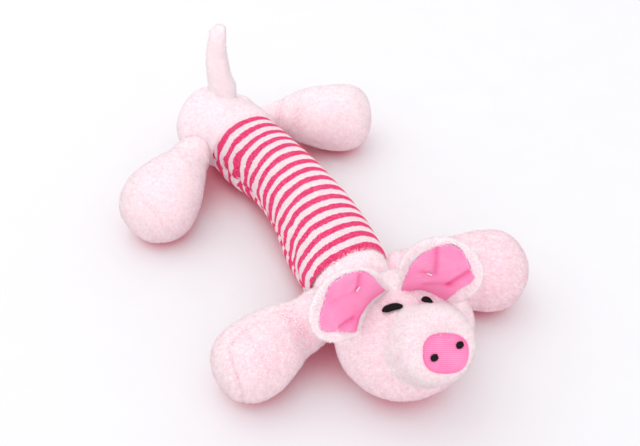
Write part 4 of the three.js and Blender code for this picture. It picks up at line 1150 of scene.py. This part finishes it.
def sew(name, starts, stops, outs, finish, thickness, body, node):
    """Sews a thread from each start to its stop, lying on the side that outs points to."""
    starts, stops, outs = (np.asarray(part, float) for part in (starts, stops, outs))
    centres = (starts + stops) / 2
    piece = mesh_piece(name, centres, [])
    angles, sizes = [], []
    for start, stop, out in zip(starts, stops, outs):
        run = unit(stop - start)
        side = unit(np.cross(out, run))
        lift = np.cross(run, side)
        angles.append(Matrix(np.column_stack([run, side, lift]).tolist()).to_euler())
        sizes.append((np.linalg.norm(stop - start) / 2 * MM, thickness / 2 * MM, thickness / 2 * MM))
    spent = piece.data
    note(spent, "turn", "FLOAT_VECTOR", np.array(angles))
    note(spent, "size", "FLOAT_VECTOR", np.array(sizes))
    piece.data = stitches.grown(piece, Thread=finish.material)
    bpy.data.meshes.remove(spent)
    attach(piece, body)
    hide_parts(node)


for name, side in (("left", 1), ("right", -1)):
    places = np.linspace(-1.6, 1.6, 9)
    half = 2.0 * np.sqrt(1 - (places / 2.1) ** 2)
    lows = np.column_stack([side * 7.0 + 0.9 + places, 0 * places - 47.45, -2.0 - half])
    tops = np.column_stack([side * 7.0 + 0.9 + places, 0 * places - 47.45, -2.0 + half])
    outs = np.zeros_like(lows) + FACE @ [0, -1, 0]
    sew(name + "_nostril_stitch", from_face(lows), from_face(tops), outs, thread_finish, NOSTRIL_THREAD,
        "head", name + "_nostril")

eyes = {
    # both ends of each eye in the face's frame; half its height; how far its middle is arched
    # how far it stands out from the head
    "left": ((4.9, -28.6, 20.2), (9.0, -30.0, 17.0), 1.8, 1.0, 2.2),
    "right": ((-4.9, -26.2, 21.2), (-13.5, -22.5, 21.6), 2.3, 0.5, 1.2),
}
for name, (inner, outer, tall, arch, lift) in eyes.items():
    inner, outer = np.array(inner), np.array(outer)
    run = unit(outer - inner)
    rise = unit(np.cross(run, inner + outer))
    rise = rise * np.sign(rise[2])
    places = np.linspace(-1, 1, 21)
    half = tall * (1 - 0.6 * np.abs(places) ** 4)
    spine = (inner + outer) / 2 + np.outer(places * np.linalg.norm(outer - inner) / 2, run)
    spine = spine + np.outer(arch * (0.5 - places ** 2), rise)
    slant = np.outer(0.35 * half, run) * np.sign(run[0])
    lows = on_head(spine - np.outer(half, rise) + slant, lift)
    tops = on_head(spine + np.outer(half, rise) - slant, lift)
    outs = unit((lows + tops) / 2) @ FACE.T
    sew(name + "_eye_stitch", from_face(lows), from_face(tops), outs, thread_finish, EYE_THREAD, "head",
        name + "_eye")

# Neck thread
# The strong white thread that closes the neck, wound round the chest's dome inside the head's hollow.
# The CAD part is kept, in a twisted thread's finish.
white_finish = Finish("white_thread", Roughness=0.6, Specular_IOR_Level=0.3)
white_twist = white_finish.noise(white_finish.place(), 2500.0, 3.0)
white_finish.to_shader("Base Color", white_finish.mix(
    white_twist, colour(232, 222, 226), colour(252, 248, 249)))
neck_thread = frame["nodes"]["neck_thread"]
dress(neck_thread, white_finish)

# Ears
# Each is a cupped flap: a plush back that shows as a rim, and a pink knit lining sewn inside it.
# A white tack stitch pulls both together; the flap's straight foot is sewn to the head.
EAR_FOOT_HALF = 14.5
EAR_HALF = 19.0
EAR_SINK = 1.6
FOOT_FROM = -8.0
LINING_FOOT_HALF = 13.0
TACK_THREAD = 0.5
ears = {
    # the way to the tip; its length; the slant along the foot; how far the lining's foot lies clear of
    # the head, and the foot in front of its seam; the tack's place across and up
    # lining: heights above the foot, and how far the lining reaches to either side there
    # creases: from where to where the lining is creased, and how deep, which also sets its painted shade
    "left_ear": {
        "tip": (0.177972, -0.204918, 0.962463), "length": 33.2, "skew": 0.0, "clear": -0.8, "forward": 3.2,
        "tack": (-3.6, 10.4), "seed": 61,
        "lining": ((-6, 0, 8, 16, 21, 26, 29, 31, 32),
                   (-12.0, -13.4, -14.4, -14.2, -13.0, -10.4, -7.4, -4.0, -1.0),
                   (9.0, 10.2, 12.0, 14.8, 15.6, 10.2, 7.2, 4.4, 0.5)),
        "creases": (((-1.4, 12.0), (-6.6, 28.0), 1.1), ((6.5, 8.0), (11.8, 22.0), 1.5),
                    ((-8.1, 11.4), (-3.0, 9.4), 0.8), ((-3.5, 3.0), (8.5, 9.6), 0.7)),
    },
    "right_ear": {
        "tip": (-0.618716, 0.182390, 0.764150), "length": 32.6, "skew": -0.2, "clear": 3.8, "forward": 0.0,
        "tack": (8.2, 13.4), "seed": 62,
        "lining": ((-6, 1, 5, 11, 17, 20, 24, 26, 27.5, 29, 30.2),
                   (-11.5, -12.8, -13.3, -14.0, -14.8, -15.1, -14.9, -12.0, -4.0, 1.5, 6.0),
                   (11.0, 12.2, 13.8, 16.2, 17.6, 17.8, 16.6, 15.2, 13.4, 10.6, 7.5)),
        "creases": (((8.6, 14.0), (15.4, 20.0), 1.2), ((-11.6, 12.6), (-6.4, 6.4), 1.3),
                    ((8.0, 13.0), (-1.0, 24.0), 0.4)),
    },
}


def ear_half(y, length):
    """Half the width of an ear at a height above its foot."""
    waist = 0.5 * length
    rising = lerp(EAR_FOOT_HALF, EAR_HALF, np.sin(math.pi / 2 * np.clip(y / waist, 0, 1)))
    beyond = np.clip((y - waist) / (length - waist), 0, 1)
    return np.where(y < waist, rising + 0.25 * np.minimum(y, 0), EAR_HALF * (1 - beyond ** 2.5) ** (1 / 2.5))


def line_distance(x, y, start, stop):
    """How far points lie from a straight line between two points."""
    start, run = np.array(start), np.array(stop) - start
    share = np.clip(((x - start[0]) * run[0] + (y - start[1]) * run[1]) / np.dot(run, run), 0, 1)
    return np.hypot(x - start[0] - share * run[0], y - start[1] - share * run[1])


def ear_cup(x):
    """How far the cupped ear comes forward at a distance from its middle."""
    return 6.0 * (x / EAR_HALF) ** 2


def ahead(y, shape):
    """How far an ear stands in front of its seam at a height, less towards the tip."""
    return shape["forward"] * (1 - np.clip(y, 0, None) / shape["length"])


def wavy(x, y, size, seed):
    """Waves of a size in millimetres over an ear."""
    return 0.5 * lumps(np.column_stack([x.ravel(), y.ravel(), 0 * x.ravel()]), size, seed).reshape(x.shape)


def in_head(points):
    """Below 1 inside the head, 1 on its surface."""
    local = (points - HEAD_CENTRE) @ FACE
    return np.linalg.norm(local / head_size(local), axis=-1)


v, u = np.meshgrid(np.linspace(0, 1, 64), np.linspace(-1, 1, 72), indexing="ij")
rows = np.sin(v * math.pi / 2)
for name, shape in ears.items():
    foot = np.array(joints[name + "_fold"]["pos_m"]) / MM
    base = unit(np.array(joints[name + "_fold"]["axis"]))
    out = unit(np.array(shape["tip"]) - base * np.dot(base, shape["tip"]))
    turned = np.column_stack([base, out + shape["skew"] * base, np.cross(base, out)])
    tries = np.linspace(FOOT_FROM, 4, 61)
    columns = np.linspace(-15, 15, 31)
    depths = ear_cup(columns)[:, None] + 1.0 + ahead(tries, shape)[None, :]
    spots = np.stack(np.broadcast_arrays(columns[:, None], tries[None, :], depths), axis=-1)
    sunk = in_head(spots @ turned.T + foot) < 1.0
    foot_line = np.where(sunk, tries[None, :], FOOT_FROM).max(axis=1)
    heights, lefts, rights = shape["lining"]

    y_foot = np.interp(u * EAR_FOOT_HALF, columns, foot_line)
    y = lerp(y_foot - 1.5, shape["length"], rows)
    x = u * ear_half(y, shape["length"])
    edge = np.sqrt(np.clip(1 - np.maximum(np.abs(u) ** 8, v ** 10), 0, 1))
    inset = (x > np.interp(y, heights, lefts) + 0.3) & (x < np.interp(y, heights, rights) - 0.3)
    inset &= (y < heights[-1]) & (y > y_foot + shape["clear"])
    z = ear_cup(x) + ahead(y, shape) + 0.9 * edge + wavy(x, y, 9.0, shape["seed"]) - EAR_SINK * inset
    grid = np.stack([x, y, z], axis=-1)
    thick = (0.3 + 1.9 * edge - EAR_SINK * inset * edge)[..., None] * (turned @ [0, 0, 1])
    ear = patch(name + "_plush", grid @ turned.T + foot, skin_finish, thick, x, y)
    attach(ear, name)
    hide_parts(name + "_back")
    shown = np.concatenate([np.where(inset, 0.0, 1.0).ravel(), np.ones(x.size)])
    shown = shown * smooth((in_head(coordinates(ear.data)) - 0.96) / 0.03)
    combed = np.stack([0.8 * u, np.ones_like(u), 0 * u], axis=-1).reshape(-1, 3) @ turned.T
    combed = np.concatenate([combed, combed])
    grow_pile(ear, name + "_pile", name, shown, combed, shape["seed"], per_mm2=6.0, pale=0.6)

    y = lerp(np.interp(u * LINING_FOOT_HALF, columns, foot_line) + shape["clear"], heights[-1], rows)
    x = lerp(np.interp(y, heights, lefts), np.interp(y, heights, rights), (u + 1) / 2)
    tack = np.array(shape["tack"])
    sink = 1.2 * np.exp(-(np.hypot(x - tack[0], y - tack[1]) / 2.2) ** 2)
    # Painted shade: the lining turns deep pink along its foot at the head and in its creases.
    fold = 0.7 * np.exp(-np.clip(y - y[0], 0, None) / 2.5)
    for start, stop, depth in shape["creases"]:
        crease = np.exp(-(line_distance(x, y, start, stop) / 1.2) ** 2)
        sink = sink + depth * crease
        fold = fold + 0.45 * depth * crease
    z = ear_cup(x) + ahead(y, shape) + 2.3 - 0.9 * np.maximum(np.abs(u), v) ** 8
    z = z - EAR_SINK * np.tanh(sink / EAR_SINK) + wavy(x, y, 7.0, shape["seed"] + 5)
    grid = np.stack([x, y, z], axis=-1)
    lining = patch(name + "_knit", grid @ turned.T + foot, course_finish, turned @ [0, 0, 0.5], x, y - 8)
    note_painted_shade_and_tone(lining, np.clip(np.concatenate([fold.ravel(), fold.ravel()]), 0, 1))
    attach(lining, name)
    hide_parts(name + "_lining")

    spot = np.array([*tack, ear_cup(tack[0]) + 1.6 + ahead(tack[1], shape)])
    starts = spot + [[-1.8, -0.2, 0.0], [-1.2, 0.5, 0.0]]
    stops = spot + [[1.6, 0.3, 0.3], [1.4, -0.5, 0.3]]
    outs = np.zeros((2, 3)) + turned @ [0, 0, 1]
    sew(name + "_tack_stitch", starts @ turned.T + foot, stops @ turned.T + foot, outs, white_finish,
        TACK_THREAD, name, name + "_tack")
